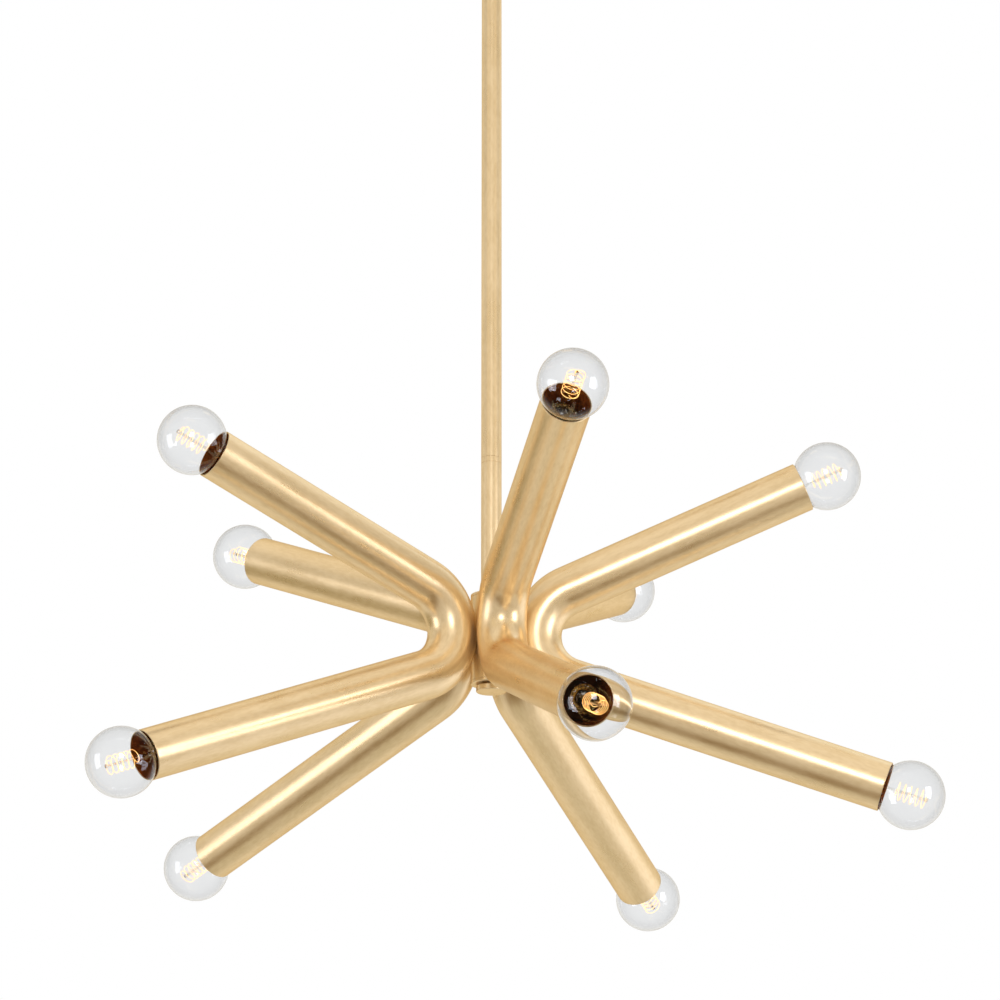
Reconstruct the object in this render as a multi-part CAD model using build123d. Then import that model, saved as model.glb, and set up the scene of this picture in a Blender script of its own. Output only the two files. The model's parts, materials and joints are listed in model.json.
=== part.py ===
from build123d import *
import math
import os

# Sizes are in millimetres and angles in degrees. The ceiling is the plane Z = 0 and everything hangs below it.

# Arm tubes, each bent into a V whose bend sits against the post
TUBE_DIAMETER = 38.1
TUBE_WALL = 1.2
BEND_RADIUS = 39.0
ARM_SLOPE = 21.4
UPPER_STRAIGHT = 198.0
LOWER_STRAIGHT = 252.0
MOUTH_ROUNDING = 0.4
FRONT_ARM_ANGLE = 13.0
POST_TO_TUBE_GAP = 0.2

# How each tube sits, as photographed: its turn round the stem away from an even fifth, the nod of its bend,
# and the roll about its own radius
ARM_SETTINGS = {
    "front": (0.0, 1.5, 0.0),
    "right": (-1.0, 1.5, 2.5),
    "back_right": (-1.5, -2.0, -0.5),
    "back_left": (0.5, 0.0, -0.5),
    "left": (1.0, 0.0, -0.5),
}

# Post with its two caps, and the knob below
POST_DIAMETER = 31.75
POST_WALL = 1.5
POST_HEIGHT = 71.4
POST_CAP_FLANGE = 2.5
POST_CAP_SPIGOT = 4.0
POST_CAP_ROUNDING = 0.8
KNOB_DIAMETER = 23.2
KNOB_THICKNESS = 4.7
KNOB_ROUNDING = 0.7
KNOB_NECK_DIAMETER = 14.0
KNOB_NECK_HEIGHT = 1.0
KNOB_STUD_DIAMETER = 6.0
KNOB_STUD_LENGTH = 5.0

# Stem of two rods with solid tapped ends, joined by a flush band
ROD_DIAMETER = 15.875
ROD_WALL = 1.25
ROD_END_PLUG = 14.0
LOWER_ROD_LENGTH = 106.1
UPPER_ROD_LENGTH = 457.2
COUPLING_BAND = 4.4
NIPPLE_DIAMETER = 9.7
NIPPLE_BORE = 6.8
NIPPLE_GRIP = 11.0
NIPPLE_PROUD = 1.5
NUT_ACROSS_FLATS = 14.0
NUT_THICKNESS = 4.0

# Hang-straight swivel: a bored ball in a seat ring
TILT_LIMIT = 20.0
BALL_RETENTION = 1.4
BALL_SHOULDER = 1.0
SEAT_HEIGHT = 9.0
SEAT_WALL = 4.4
SPIGOT_WALL = 2.3
STEM_SWING_GAP = 0.6
STOP_LENGTH = 4.0
STOP_WIDTH = 5.0
STOP_HEIGHT = 5.0

# Ceiling canopy, the crossbar over the ceiling box, and their fixings
CANOPY_DIAMETER = 139.7
CANOPY_HEIGHT = 34.0
CANOPY_WALL = 1.5
CANOPY_CORNER = 10.0
BOX_SPACING_SMALL = 69.85
BOX_SPACING_LARGE = 88.9
BOX_SLOT_WIDTH = 5.2
STUD_OUTSET = 9.55
STUD_SPACING = BOX_SPACING_LARGE + 2 * STUD_OUTSET
STUD_DIAMETER = 4.2
STUD_PROUD = 7.0
CAP_NUT_DIAMETER = 11.0
CAP_NUT_SKIRT = 5.0
CAP_NUT_CROWN = 3.0
BAR_END = 7.0
BAR_LENGTH = STUD_SPACING + 2 * BAR_END
BAR_WIDTH = 24.0
BAR_THICKNESS = 2.5
BAR_EYE = 16.0
EARTH_SCREW_DIAMETER = 4.0
EARTH_SCREW_HEAD = 8.0
EARTH_SCREW_HEAD_HEIGHT = 2.4
EARTH_SCREW_OFFSET = 21.0

# Globe lamps with a small screw cap
GLOBE_DIAMETER = 52.4
GLASS_WALL = 0.9
NECK_DIAMETER = 10.0
NECK_BLEND = 9.0
NECK_IN_CAP = 4.0
MOUTH_CLEARANCE = 1.0
CAP_THREAD_DIAMETER = 11.9
CAP_ROOT_DIAMETER = 11.0
CAP_THREAD_PITCH = 2.5
CAP_THREAD_TURNS = 4
CAP_RIM = 3.0
CAP_TAIL = 2.0
CAP_TIP_DIAMETER = 5.2
CAP_TIP_HEIGHT = 2.1
CONTACT_DIAMETER = 4.4
CONTACT_HEIGHT = 1.2

# Spiral filament on a centre mount inside the globe
COIL_DIAMETER = 14.0
COIL_WIRE = 0.8
COIL_PITCH = 4.6
COIL_TURNS = 5
COIL_LEAD_BEND = 2.5
MOUNT_DIAMETER = 2.0
MOUNT_TOP_MARGIN = 2.0
MOUNT_FLARE_HEIGHT = 2.0

# Lamp holders deep in the tube mouths
SHELL_WALL = 0.4
SHELL_LENGTH = 13.0
HOLDER_DIAMETER = 22.0
HOLDER_FLOOR = 4.5
HOLDER_TOP_STEP = 1.5
CONTACT_LEAF_DIAMETER = 7.0
CONTACT_LEAF_THICKNESS = 0.6
CONTACT_PILLAR_DIAMETER = 4.0
CONTACT_PILLAR_HEIGHT = 1.6
DISC_THICKNESS = 1.5

# Wiring: a lead to each lamp, a terminal block in the post, and the stem lead
LEAD_DIAMETER = 2.4
LEAD_PAIR_GAP = 0.2
LEAD_TURN_IN = 15.0
LEAD_DROP_SHARE = 0.3
LEAD_BEND_SHARE = 0.45
BLOCK_HEIGHT = 14.0
BLOCK_TO_NIPPLE = 2.0
STEM_LEAD_DIAMETER = 4.6
STEM_LEAD_PROUD = 2.0
ARM_NIPPLE_WALL = 1.25
ARM_NIPPLE_HEAD = 2.0
ARM_NIPPLE_HEAD_THICKNESS = 1.6
ARM_NIPPLE_PROUD = 0.5
ARM_NUT_EXTRA = 3.5
ARM_NUT_THICKNESS = 2.6

# Clearances: between a thread and its hole, in a slip fit, and between pieces that move past each other
THREAD_CLEARANCE = 0.1
SLIP_CLEARANCE = 0.1
MOVING_GAP = 0.3
CONTACT_GAP = 0.1

# How closely an edge is matched by its size and place, and how finely the filament's gap is measured
EDGE_MATCH = 0.001
GAP_STEPS = 720

# Radii
tube_radius = TUBE_DIAMETER / 2
tube_bore = tube_radius - TUBE_WALL
post_radius = POST_DIAMETER / 2
post_bore = post_radius - POST_WALL
rod_radius = ROD_DIAMETER / 2
rod_bore = rod_radius - ROD_WALL
nipple_radius = NIPPLE_DIAMETER / 2
nipple_hole = nipple_radius + THREAD_CLEARANCE
globe_radius = GLOBE_DIAMETER / 2
neck_radius = NECK_DIAMETER / 2
lead_radius = LEAD_DIAMETER / 2
stem_lead_radius = STEM_LEAD_DIAMETER / 2
stud_radius = STUD_DIAMETER / 2
canopy_radius = CANOPY_DIAMETER / 2

# Swivel: the seat's opening lets the tilted rod through, and the ball is too big for it
seat_depth = SEAT_HEIGHT + CANOPY_WALL
tilt = math.radians(TILT_LIMIT)
seat_opening = (rod_radius + seat_depth * math.sin(tilt)) / math.cos(tilt) + STEM_SWING_GAP
ball_radius = seat_opening + BALL_RETENTION
seat_sphere = ball_radius + MOVING_GAP
seat_radius = seat_sphere + SEAT_WALL
spigot_radius = seat_opening + SPIGOT_WALL
nut_corner = NUT_ACROSS_FLATS / math.sqrt(3)
ball_top = math.sqrt(ball_radius**2 - (nut_corner + BALL_SHOULDER) ** 2)
ball_bottom = math.sqrt(ball_radius**2 - rod_radius**2)

# Heights down the stem, from the canopy's floor to the middle of the post
canopy_floor = -CANOPY_HEIGHT + CANOPY_WALL
ball_height = canopy_floor + SEAT_HEIGHT
upper_rod_top = ball_height - ball_bottom
upper_rod_low = upper_rod_top - UPPER_ROD_LENGTH
lower_rod_top = upper_rod_low - COUPLING_BAND
post_top = lower_rod_top - LOWER_ROD_LENGTH
post_low = post_top - POST_HEIGHT
hub_height = (post_top + post_low) / 2

# Arm geometry in the tube's own plane: X outwards from the stem, Z up, the bend's middle at height 0
slope = math.radians(ARM_SLOPE)
apex_radius = post_radius + POST_TO_TUBE_GAP + tube_radius
bend_centre = apex_radius + BEND_RADIUS
globe_standoff = math.sqrt(globe_radius**2 - (tube_bore - MOUTH_CLEARANCE) ** 2)

# Lamp levels along its own axis, with the globe's centre at 0 and the cap below
blend_height = -math.sqrt((globe_radius + NECK_BLEND) ** 2 - (neck_radius + NECK_BLEND) ** 2)
cap_top = blend_height + SLIP_CLEARANCE
cap_bore = neck_radius + SLIP_CLEARANCE
cap_thread_top = cap_top - CAP_RIM
cap_thread_low = cap_thread_top - CAP_THREAD_PITCH * CAP_THREAD_TURNS
cap_low = cap_thread_low - CAP_TAIL
tip_low = cap_low - CAP_TIP_HEIGHT
lamp_low = tip_low - CONTACT_HEIGHT
coil_radius = COIL_DIAMETER / 2 - COIL_WIRE / 2
coil_height = COIL_PITCH * COIL_TURNS
mount_radius = MOUNT_DIAMETER / 2

# Holder levels on the same axis
shell_bore = CAP_THREAD_DIAMETER / 2 + MOVING_GAP
leaf_top = lamp_low - CONTACT_GAP
holder_floor_top = leaf_top - CONTACT_LEAF_THICKNESS - CONTACT_PILLAR_HEIGHT
holder_low = holder_floor_top - HOLDER_FLOOR
holder_top = cap_top - HOLDER_TOP_STEP
disc_low = holder_low - DISC_THICKNESS

# Arm nipples, nuts and the terminal block, by their distance from the stem's axis
lead_offset = (LEAD_DIAMETER + LEAD_PAIR_GAP) / 2
arm_nipple_bore = lead_offset + lead_radius + SLIP_CLEARANCE + LEAD_PAIR_GAP
arm_nipple_radius = arm_nipple_bore + ARM_NIPPLE_WALL
arm_nipple_hole = arm_nipple_radius + THREAD_CLEARANCE
arm_nut_flat = arm_nipple_radius + ARM_NUT_EXTRA / 2
arm_nut_outer = math.sqrt(post_bore**2 - arm_nut_flat**2) - MOVING_GAP
arm_nut_inner = arm_nut_outer - ARM_NUT_THICKNESS
arm_nipple_inner = arm_nut_inner - ARM_NIPPLE_PROUD
arm_head_radius = arm_nipple_radius + ARM_NIPPLE_HEAD
arm_head_seat = apex_radius - math.sqrt(tube_bore**2 - arm_head_radius**2) + SLIP_CLEARANCE
block_radius = arm_nipple_inner - BLOCK_TO_NIPPLE


def upright(radius, low, high):
    """A plain cylinder on the Z axis between two heights."""
    return Pos(0, 0, low) * Cylinder(radius, high - low, align=(Align.CENTER, Align.CENTER, Align.MIN))


def pipe(outer, inner, low, high):
    """A plain tube on the Z axis between two heights."""
    return upright(outer, low, high) - upright(inner, low, high)


def hex_nut(across_flats, bore, low, high):
    """A hexagon nut on the Z axis between two heights, with flats towards plus and minus Y."""
    outline = RegularPolygon(across_flats / 2, 6, major_radius=False)
    return extrude(Pos(0, 0, low) * outline, high - low) - upright(bore, low, high)


def turned(*edges):
    """A solid of revolution about Z from a closed outline drawn as radius and height."""
    return revolve(Plane.XZ * make_face(list(edges)), Axis.Z)


def turned_outline(*points):
    """A solid of revolution about Z from corner points given as radius and height."""
    return turned(*Polyline(*points, close=True).edges())


def rim_edges(solid, radius, height):
    """The circles of one radius at one height of a turned solid."""
    circles = solid.edges().filter_by(GeomType.CIRCLE)
    return circles.filter_by(
        lambda edge: abs(edge.radius - radius) < EDGE_MATCH and abs(edge.arc_center.Z - height) < EDGE_MATCH
    )


def arm_place(index, setting):
    """Where an arm's own frame sits on the post."""
    turn, nod, roll = setting
    around = FRONT_ARM_ANGLE + 360 / len(ARM_SETTINGS) * index + turn - 90
    to_apex = Pos(apex_radius, 0, 0)
    from_apex = Pos(-apex_radius, 0, 0)
    return Pos(0, 0, hub_height) * Rot(Z=around) * to_apex * Rot(Y=-nod) * Rot(X=roll) * from_apex


def arm_axis(side):
    """The outward direction of an arm, 1 for the upper and -1 for the lower."""
    return Vector(math.cos(slope), 0, side * math.sin(slope))


def bend_end(side):
    """Where the bend meets an arm's straight length."""
    return Vector(bend_centre - BEND_RADIUS * math.sin(slope), 0, side * BEND_RADIUS * math.cos(slope))


def mouth(side):
    """The centre of an arm's open mouth."""
    straight = UPPER_STRAIGHT if side > 0 else LOWER_STRAIGHT
    return bend_end(side) + arm_axis(side) * straight


def lamp_place(side):
    """The lamp's own frame in the arm's frame: the globe's centre, with Z along the arm."""
    centre = mouth(side) + arm_axis(side) * globe_standoff
    return Plane(origin=centre, x_dir=(0, 1, 0), z_dir=arm_axis(side)).location


def radial(radius, start, end):
    """A cylinder along an arm frame's X axis between two distances from the stem."""
    return Pos(start, 0, 0) * Rot(Y=90) * upright(radius, 0, end - start)


def make_arm_tube():
    """One V-bent tube with round mouth edges and the nipple hole in the back of its bend."""
    apex = Vector(apex_radius, 0, 0)
    path = Wire(
        [
            Line(mouth(1), bend_end(1)),
            ThreePointArc(bend_end(1), apex, bend_end(-1)),
            Line(bend_end(-1), mouth(-1)),
        ]
    )
    start = Plane(origin=mouth(1), z_dir=-arm_axis(1))
    tube = sweep(start * Circle(tube_radius), path) - sweep(start * Circle(tube_bore), path)
    mouths = [mouth(1), mouth(-1)]
    rims = tube.edges().filter_by(GeomType.CIRCLE).filter_by(
        lambda edge: min((edge.arc_center - centre).length for centre in mouths) < EDGE_MATCH
    )
    tube = fillet(rims, MOUTH_ROUNDING)
    return tube - radial(arm_nipple_hole, 0, apex_radius)


def make_arm_nipple():
    """A hollow threaded nipple with a flat head inside the tube, reaching into the post."""
    head_end = arm_head_seat + ARM_NIPPLE_HEAD_THICKNESS
    nipple = radial(arm_nipple_radius, arm_nipple_inner, head_end) + radial(arm_head_radius, arm_head_seat, head_end)
    return nipple - radial(arm_nipple_bore, arm_nipple_inner, head_end)


def make_arm_nut():
    """The nut on an arm nipple, flat against the inside of the post."""
    nut = hex_nut(2 * arm_nut_flat, arm_nipple_hole, 0, ARM_NUT_THICKNESS)
    return Pos(arm_nut_inner, 0, 0) * Rot(Y=90) * nut


def lead_route(side):
    """The corners of a lamp lead's route, from the holder's foot to the terminal block."""
    foot = lamp_place(side).position + arm_axis(side) * holder_low
    turn_in = bend_end(side) + arm_axis(side) * LEAD_TURN_IN
    drop = Vector(apex_radius + BEND_RADIUS * LEAD_DROP_SHARE, 0, side * lead_offset)
    end = Vector(block_radius + MOVING_GAP, 0, side * lead_offset)
    return [foot, turn_in, drop, end]


def bend_radii(points):
    """The largest even bend at each inner corner of a route."""
    radii = []
    for before, corner, after in zip(points, points[1:], points[2:]):
        run_in = corner - before
        run_out = after - corner
        half_turn = math.radians(run_in.get_angle(run_out)) / 2
        shorter = min(run_in.length, run_out.length)
        radii.append(LEAD_BEND_SHARE * shorter / math.tan(half_turn))
    return radii


def make_arm_lead(side):
    """A lamp lead along its arm, through the nipple and up to the terminal block."""
    points = lead_route(side)
    path = FilletPolyline(*points, radius=bend_radii(points))
    start = Plane(origin=points[0], z_dir=points[1] - points[0])
    return sweep(start * Circle(lead_radius), path)


def make_globe():
    """The lamp's glass: a thin globe that draws in to a narrow neck."""
    blend_radius = neck_radius + NECK_BLEND
    lean = math.degrees(math.atan2(blend_height, blend_radius))
    low = cap_top - NECK_IN_CAP
    inner_globe = globe_radius - GLASS_WALL
    inner_blend = NECK_BLEND + GLASS_WALL
    inner_neck = neck_radius - GLASS_WALL
    return turned(
        CenterArc((0, 0), globe_radius, lean, 90 - lean),
        CenterArc((blend_radius, blend_height), NECK_BLEND, 180, lean),
        Line((neck_radius, blend_height), (neck_radius, low)),
        Line((neck_radius, low), (inner_neck, low)),
        Line((inner_neck, low), (inner_neck, blend_height)),
        CenterArc((blend_radius, blend_height), inner_blend, 180, lean),
        CenterArc((0, 0), inner_globe, lean, 90 - lean),
        Line((0, inner_globe), (0, globe_radius)),
    )


def make_lamp_cap():
    """The lamp's screw cap: a ridged metal shell, its insulating tip and its centre contact."""
    crest = CAP_THREAD_DIAMETER / 2
    root = CAP_ROOT_DIAMETER / 2
    edges = [
        Line((cap_bore, cap_low), (cap_bore, cap_top)),
        Line((cap_bore, cap_top), (root, cap_top)),
        Line((root, cap_top), (root, cap_thread_top)),
    ]
    for turn in range(CAP_THREAD_TURNS):
        start = cap_thread_top - turn * CAP_THREAD_PITCH
        end = start - CAP_THREAD_PITCH
        edges.append(ThreePointArc((root, start), (crest, (start + end) / 2), (root, end)))
    edges.append(Line((root, cap_thread_low), (root, cap_low)))
    edges.append(Line((root, cap_low), (cap_bore, cap_low)))
    tip_radius = CAP_TIP_DIAMETER / 2
    tip = turned_outline((0, cap_low), (root, cap_low), (tip_radius, tip_low), (0, tip_low))
    contact = upright(CONTACT_DIAMETER / 2, lamp_low, tip_low)
    return [turned(*edges), tip, contact]


def biarc(start, start_way, end, end_way):
    """Two tangent arcs from one point and direction to another."""
    chord = end - start
    square = 2 * (1 - start_way.dot(end_way))
    linear = 2 * chord.dot(start_way + end_way)
    reach = (math.sqrt(linear**2 + 4 * square * chord.dot(chord)) - linear) / (2 * square)
    first_corner = start + start_way * reach
    last_corner = end - end_way * reach
    middle = (first_corner + last_corner) / 2
    middle_way = (last_corner - first_corner).normalized()
    return [
        TangentArc(start, middle, tangent=start_way),
        TangentArc(middle, end, tangent=middle_way),
    ]


def coil_point(angle):
    """A point of the filament's spiral and its direction there, at an angle from the spiral's foot."""
    turn = math.radians(angle)
    height = COIL_PITCH * angle / 360 - coil_height / 2
    point = Vector(coil_radius * math.cos(turn), coil_radius * math.sin(turn), height)
    climb = COIL_PITCH / (2 * math.pi)
    way = Vector(-coil_radius * math.sin(turn), coil_radius * math.cos(turn), climb).normalized()
    return point, way


def make_coil_path():
    """The filament's line: out from the mount, round its turns in quarter steps, and back to the mount."""
    last_angle = 360 * COIL_TURNS
    foot, foot_way = coil_point(0)
    head, head_way = coil_point(last_angle)
    bend_place = coil_radius - COIL_LEAD_BEND
    lean = math.asin(COIL_LEAD_BEND / bend_place)
    bend_start = math.sqrt(bend_place**2 - COIL_LEAD_BEND**2)
    mount_face = mount_radius + CONTACT_GAP
    outwards = Vector(math.cos(lean), -math.sin(lean), 0)
    inwards = Vector(-math.cos(lean), -math.sin(lean), 0)
    foot_rise = Vector(0, 0, foot.Z)
    head_rise = Vector(0, 0, head.Z)
    edges = [Line(foot_rise + outwards * mount_face, foot_rise + outwards * bend_start)]
    edges += biarc(foot_rise + outwards * bend_start, outwards, foot, foot_way)
    for angle in range(0, last_angle, 90):
        start, start_way = coil_point(angle)
        end, end_way = coil_point(angle + 90)
        edges += biarc(start, start_way, end, end_way)
    edges += biarc(head, head_way, head_rise - inwards * bend_start, inwards)
    edges.append(Line(head_rise - inwards * bend_start, head_rise - inwards * mount_face))
    return Wire(edges)


def least_self_gap(path, thickness):
    """The least clear gap between stretches of one wound wire, measured on points."""
    points = [path.position_at(step / GAP_STEPS) for step in range(GAP_STEPS + 1)]
    apart = math.ceil(math.pi * thickness / (path.length / GAP_STEPS)) + 1
    gaps = [
        (points[one] - points[two]).length
        for one in range(len(points))
        for two in range(one + apart, len(points))
    ]
    return min(gaps) - thickness


def make_filament():
    """The spiral filament and the mount that carries it, standing in the lamp's neck."""
    path = make_coil_path()
    start = Plane(origin=path @ 0, z_dir=path % 0)
    coil = sweep(start * Circle(COIL_WIRE / 2), path)
    print("filament: least gap to itself", round(least_self_gap(path, COIL_WIRE), 2), "mm")
    flare_radius = neck_radius - GLASS_WALL - SLIP_CLEARANCE
    low = cap_top - NECK_IN_CAP
    top = coil_height / 2 + MOUNT_TOP_MARGIN
    mount = upright(mount_radius, low, top) + upright(flare_radius, low, low + MOUNT_FLARE_HEIGHT)
    return [coil, mount]


def make_holder_body():
    """The insulating body of a lamp holder, open towards the lamp."""
    bore = shell_bore + SHELL_WALL + SLIP_CLEARANCE
    return pipe(HOLDER_DIAMETER / 2, bore, holder_floor_top, holder_top) + upright(
        HOLDER_DIAMETER / 2, holder_low, holder_floor_top
    )


def make_holder_shell():
    """The plain screw shell that lines a holder."""
    return pipe(shell_bore + SHELL_WALL, shell_bore, holder_top - SHELL_LENGTH, holder_top)


def make_holder_contact():
    """The centre contact leaf on its pillar."""
    leaf_low = leaf_top - CONTACT_LEAF_THICKNESS
    leaf = upright(CONTACT_LEAF_DIAMETER / 2, leaf_low, leaf_top)
    return leaf + upright(CONTACT_PILLAR_DIAMETER / 2, holder_floor_top, leaf_low)


def make_holder_disc():
    """The steel disc that carries a holder in its tube, with a hole for the lead."""
    return pipe(tube_bore - SLIP_CLEARANCE, lead_radius + SLIP_CLEARANCE, disc_low, holder_low)


def make_post(places):
    """The post tube with a hole for each arm nipple."""
    post = pipe(post_radius, post_bore, post_low + POST_CAP_FLANGE, post_top - POST_CAP_FLANGE)
    for place in places:
        post -= place * radial(arm_nipple_hole, 0, apex_radius)
    return post


def make_post_cap(face, side, hole):
    """A cap for one end of the post: a flange the post's size on a spigot inside it."""
    spigot = post_bore - SLIP_CLEARANCE
    seat = face - side * POST_CAP_FLANGE
    spigot_end = seat - side * POST_CAP_SPIGOT
    cap = upright(post_radius, min(face, seat), max(face, seat))
    cap = fillet(rim_edges(cap, post_radius, face), POST_CAP_ROUNDING)
    cap += upright(spigot, min(seat, spigot_end), max(seat, spigot_end))
    return cap - upright(hole, min(face, spigot_end), max(face, spigot_end))


def make_finial():
    """The knob under the post, with a short neck and a stud."""
    knob_top = post_low - KNOB_NECK_HEIGHT
    knob_low = knob_top - KNOB_THICKNESS
    knob = upright(KNOB_DIAMETER / 2, knob_low, knob_top)
    knob = fillet(knob.edges().filter_by(GeomType.CIRCLE), KNOB_ROUNDING)
    knob += upright(KNOB_NECK_DIAMETER / 2, knob_top, post_low)
    return knob + upright(KNOB_STUD_DIAMETER / 2, post_low, post_low + KNOB_STUD_LENGTH)


def make_rod(low, high):
    """A stem rod: a thin tube with a solid tapped plug in each end."""
    rod = pipe(rod_radius, nipple_hole, low, high)
    return rod - upright(rod_bore, low + ROD_END_PLUG, high - ROD_END_PLUG)


def make_coupler():
    """The rod coupling: a flush band with a threaded nipple above and below."""
    nipple = pipe(nipple_radius, NIPPLE_BORE / 2, lower_rod_top - NIPPLE_GRIP, upper_rod_low + NIPPLE_GRIP)
    return nipple + pipe(rod_radius, NIPPLE_BORE / 2, lower_rod_top, upper_rod_low)


def make_stem_nipples():
    """The threaded nipples at the stem's two ends: rod to post, and rod to ball."""
    top_cap_low = post_top - POST_CAP_FLANGE - POST_CAP_SPIGOT
    post_end = top_cap_low - NUT_THICKNESS - NIPPLE_PROUD
    ball_end = ball_height + ball_top + NUT_THICKNESS + NIPPLE_PROUD
    return [
        pipe(nipple_radius, NIPPLE_BORE / 2, post_end, post_top + NIPPLE_GRIP),
        pipe(nipple_radius, NIPPLE_BORE / 2, upper_rod_top - NIPPLE_GRIP, ball_end),
    ]


def make_nipple_nuts():
    """The nuts on those nipples: under the post's top cap and on top of the ball."""
    under_cap = post_top - POST_CAP_FLANGE - POST_CAP_SPIGOT
    on_ball = ball_height + ball_top
    return [
        hex_nut(NUT_ACROSS_FLATS, nipple_hole, under_cap - NUT_THICKNESS, under_cap),
        hex_nut(NUT_ACROSS_FLATS, nipple_hole, on_ball, on_ball + NUT_THICKNESS),
    ]


def make_stem_lead():
    """The lead inside the stem, from the terminal block to just above the ball's nipple."""
    top = ball_height + ball_top + NUT_THICKNESS + NIPPLE_PROUD + STEM_LEAD_PROUD
    return upright(stem_lead_radius, hub_height + BLOCK_HEIGHT / 2, top)


def make_terminal_block():
    """The terminal block in the middle of the post."""
    return upright(block_radius, hub_height - BLOCK_HEIGHT / 2, hub_height + BLOCK_HEIGHT / 2)


def make_swivel_ball():
    """The bored ball, cut flat above for its nut and below for the rod."""
    ball = Pos(0, 0, ball_height) * Sphere(ball_radius)
    slab = upright(seat_radius, upper_rod_top, ball_height + ball_top)
    return (ball & slab) - upright(nipple_hole, upper_rod_top, ball_height + ball_top)


def make_seat_ring():
    """The plastic ring that the ball sits in, with a spigot through the canopy and a stop lug."""
    outside = ball_height - seat_depth
    ring = upright(seat_radius, canopy_floor, ball_height) + upright(spigot_radius, outside, canopy_floor)
    lug_reach = seat_radius + STOP_LENGTH
    lug = Pos(0, lug_reach / 2, canopy_floor) * Box(
        STOP_WIDTH, lug_reach, STOP_HEIGHT, align=(Align.CENTER, Align.CENTER, Align.MIN)
    )
    ring += lug
    return ring - Pos(0, 0, ball_height) * Sphere(seat_sphere) - upright(seat_opening, outside, ball_height)


def make_canopy():
    """The ceiling canopy: a pan with a rounded edge, the swivel hole, two stud holes and a stop."""
    outer = upright(canopy_radius, -CANOPY_HEIGHT, 0)
    outer = fillet(rim_edges(outer, canopy_radius, -CANOPY_HEIGHT), CANOPY_CORNER)
    inner_radius = canopy_radius - CANOPY_WALL
    inner = upright(inner_radius, canopy_floor, 0)
    inner = fillet(rim_edges(inner, inner_radius, canopy_floor), CANOPY_CORNER - CANOPY_WALL)
    canopy = outer - inner - upright(spigot_radius + MOVING_GAP, -CANOPY_HEIGHT, canopy_floor)
    for side in (-1, 1):
        hole = upright(stud_radius + MOVING_GAP, -CANOPY_HEIGHT, canopy_floor)
        canopy -= Pos(side * STUD_SPACING / 2, 0, 0) * hole
    stop_middle = seat_radius + MOVING_GAP + STOP_LENGTH / 2
    stop = Box(STOP_WIDTH, STOP_LENGTH, STOP_HEIGHT, align=(Align.CENTER, Align.CENTER, Align.MIN))
    return canopy + Pos(0, -stop_middle, canopy_floor) * stop


def make_crossbar():
    """The flat bar over the ceiling box: box slots, tapped stud holes, an eye for wires and the earth screw's hole."""
    outline = SlotOverall(BAR_LENGTH, BAR_WIDTH)
    slot_middle = (BOX_SPACING_SMALL + BOX_SPACING_LARGE) / 4
    slot_length = (BOX_SPACING_LARGE - BOX_SPACING_SMALL) / 2 + BOX_SLOT_WIDTH
    for side in (-1, 1):
        outline -= Pos(side * slot_middle, 0) * SlotOverall(slot_length, BOX_SLOT_WIDTH)
        outline -= Pos(side * STUD_SPACING / 2, 0) * Circle(stud_radius + THREAD_CLEARANCE)
    outline -= Circle(BAR_EYE / 2)
    outline -= Pos(EARTH_SCREW_OFFSET, 0) * Circle(EARTH_SCREW_DIAMETER / 2 + THREAD_CLEARANCE)
    return extrude(outline, -BAR_THICKNESS)


def make_canopy_studs():
    """The two threaded studs from the crossbar down through the canopy."""
    stud = upright(stud_radius, -CANOPY_HEIGHT - STUD_PROUD, 0)
    return [Pos(side * STUD_SPACING / 2, 0, 0) * stud for side in (-1, 1)]


def make_canopy_nuts():
    """The two cap nuts that hold the canopy up, each with a rounded crown."""
    radius = CAP_NUT_DIAMETER / 2
    hole = stud_radius + THREAD_CLEARANCE
    skirt_low = -CANOPY_HEIGHT - CAP_NUT_SKIRT
    crown_low = skirt_low - CAP_NUT_CROWN
    hole_end = -CANOPY_HEIGHT - STUD_PROUD - SLIP_CLEARANCE
    crown_sphere = (radius**2 + CAP_NUT_CROWN**2) / (2 * CAP_NUT_CROWN)
    crown = upright(radius, crown_low, skirt_low) & (Pos(0, 0, crown_low + crown_sphere) * Sphere(crown_sphere))
    nut = upright(radius, skirt_low, -CANOPY_HEIGHT) + crown - upright(hole, hole_end, -CANOPY_HEIGHT)
    return [Pos(side * STUD_SPACING / 2, 0, 0) * nut for side in (-1, 1)]


def make_earth_screw():
    """The earth screw through the crossbar, head down."""
    head_top = -BAR_THICKNESS
    head_low = head_top - EARTH_SCREW_HEAD_HEIGHT
    screw = upright(EARTH_SCREW_DIAMETER / 2, head_low, 0) + upright(EARTH_SCREW_HEAD / 2, head_low, head_top)
    return Pos(EARTH_SCREW_OFFSET, 0, 0) * screw


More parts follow.
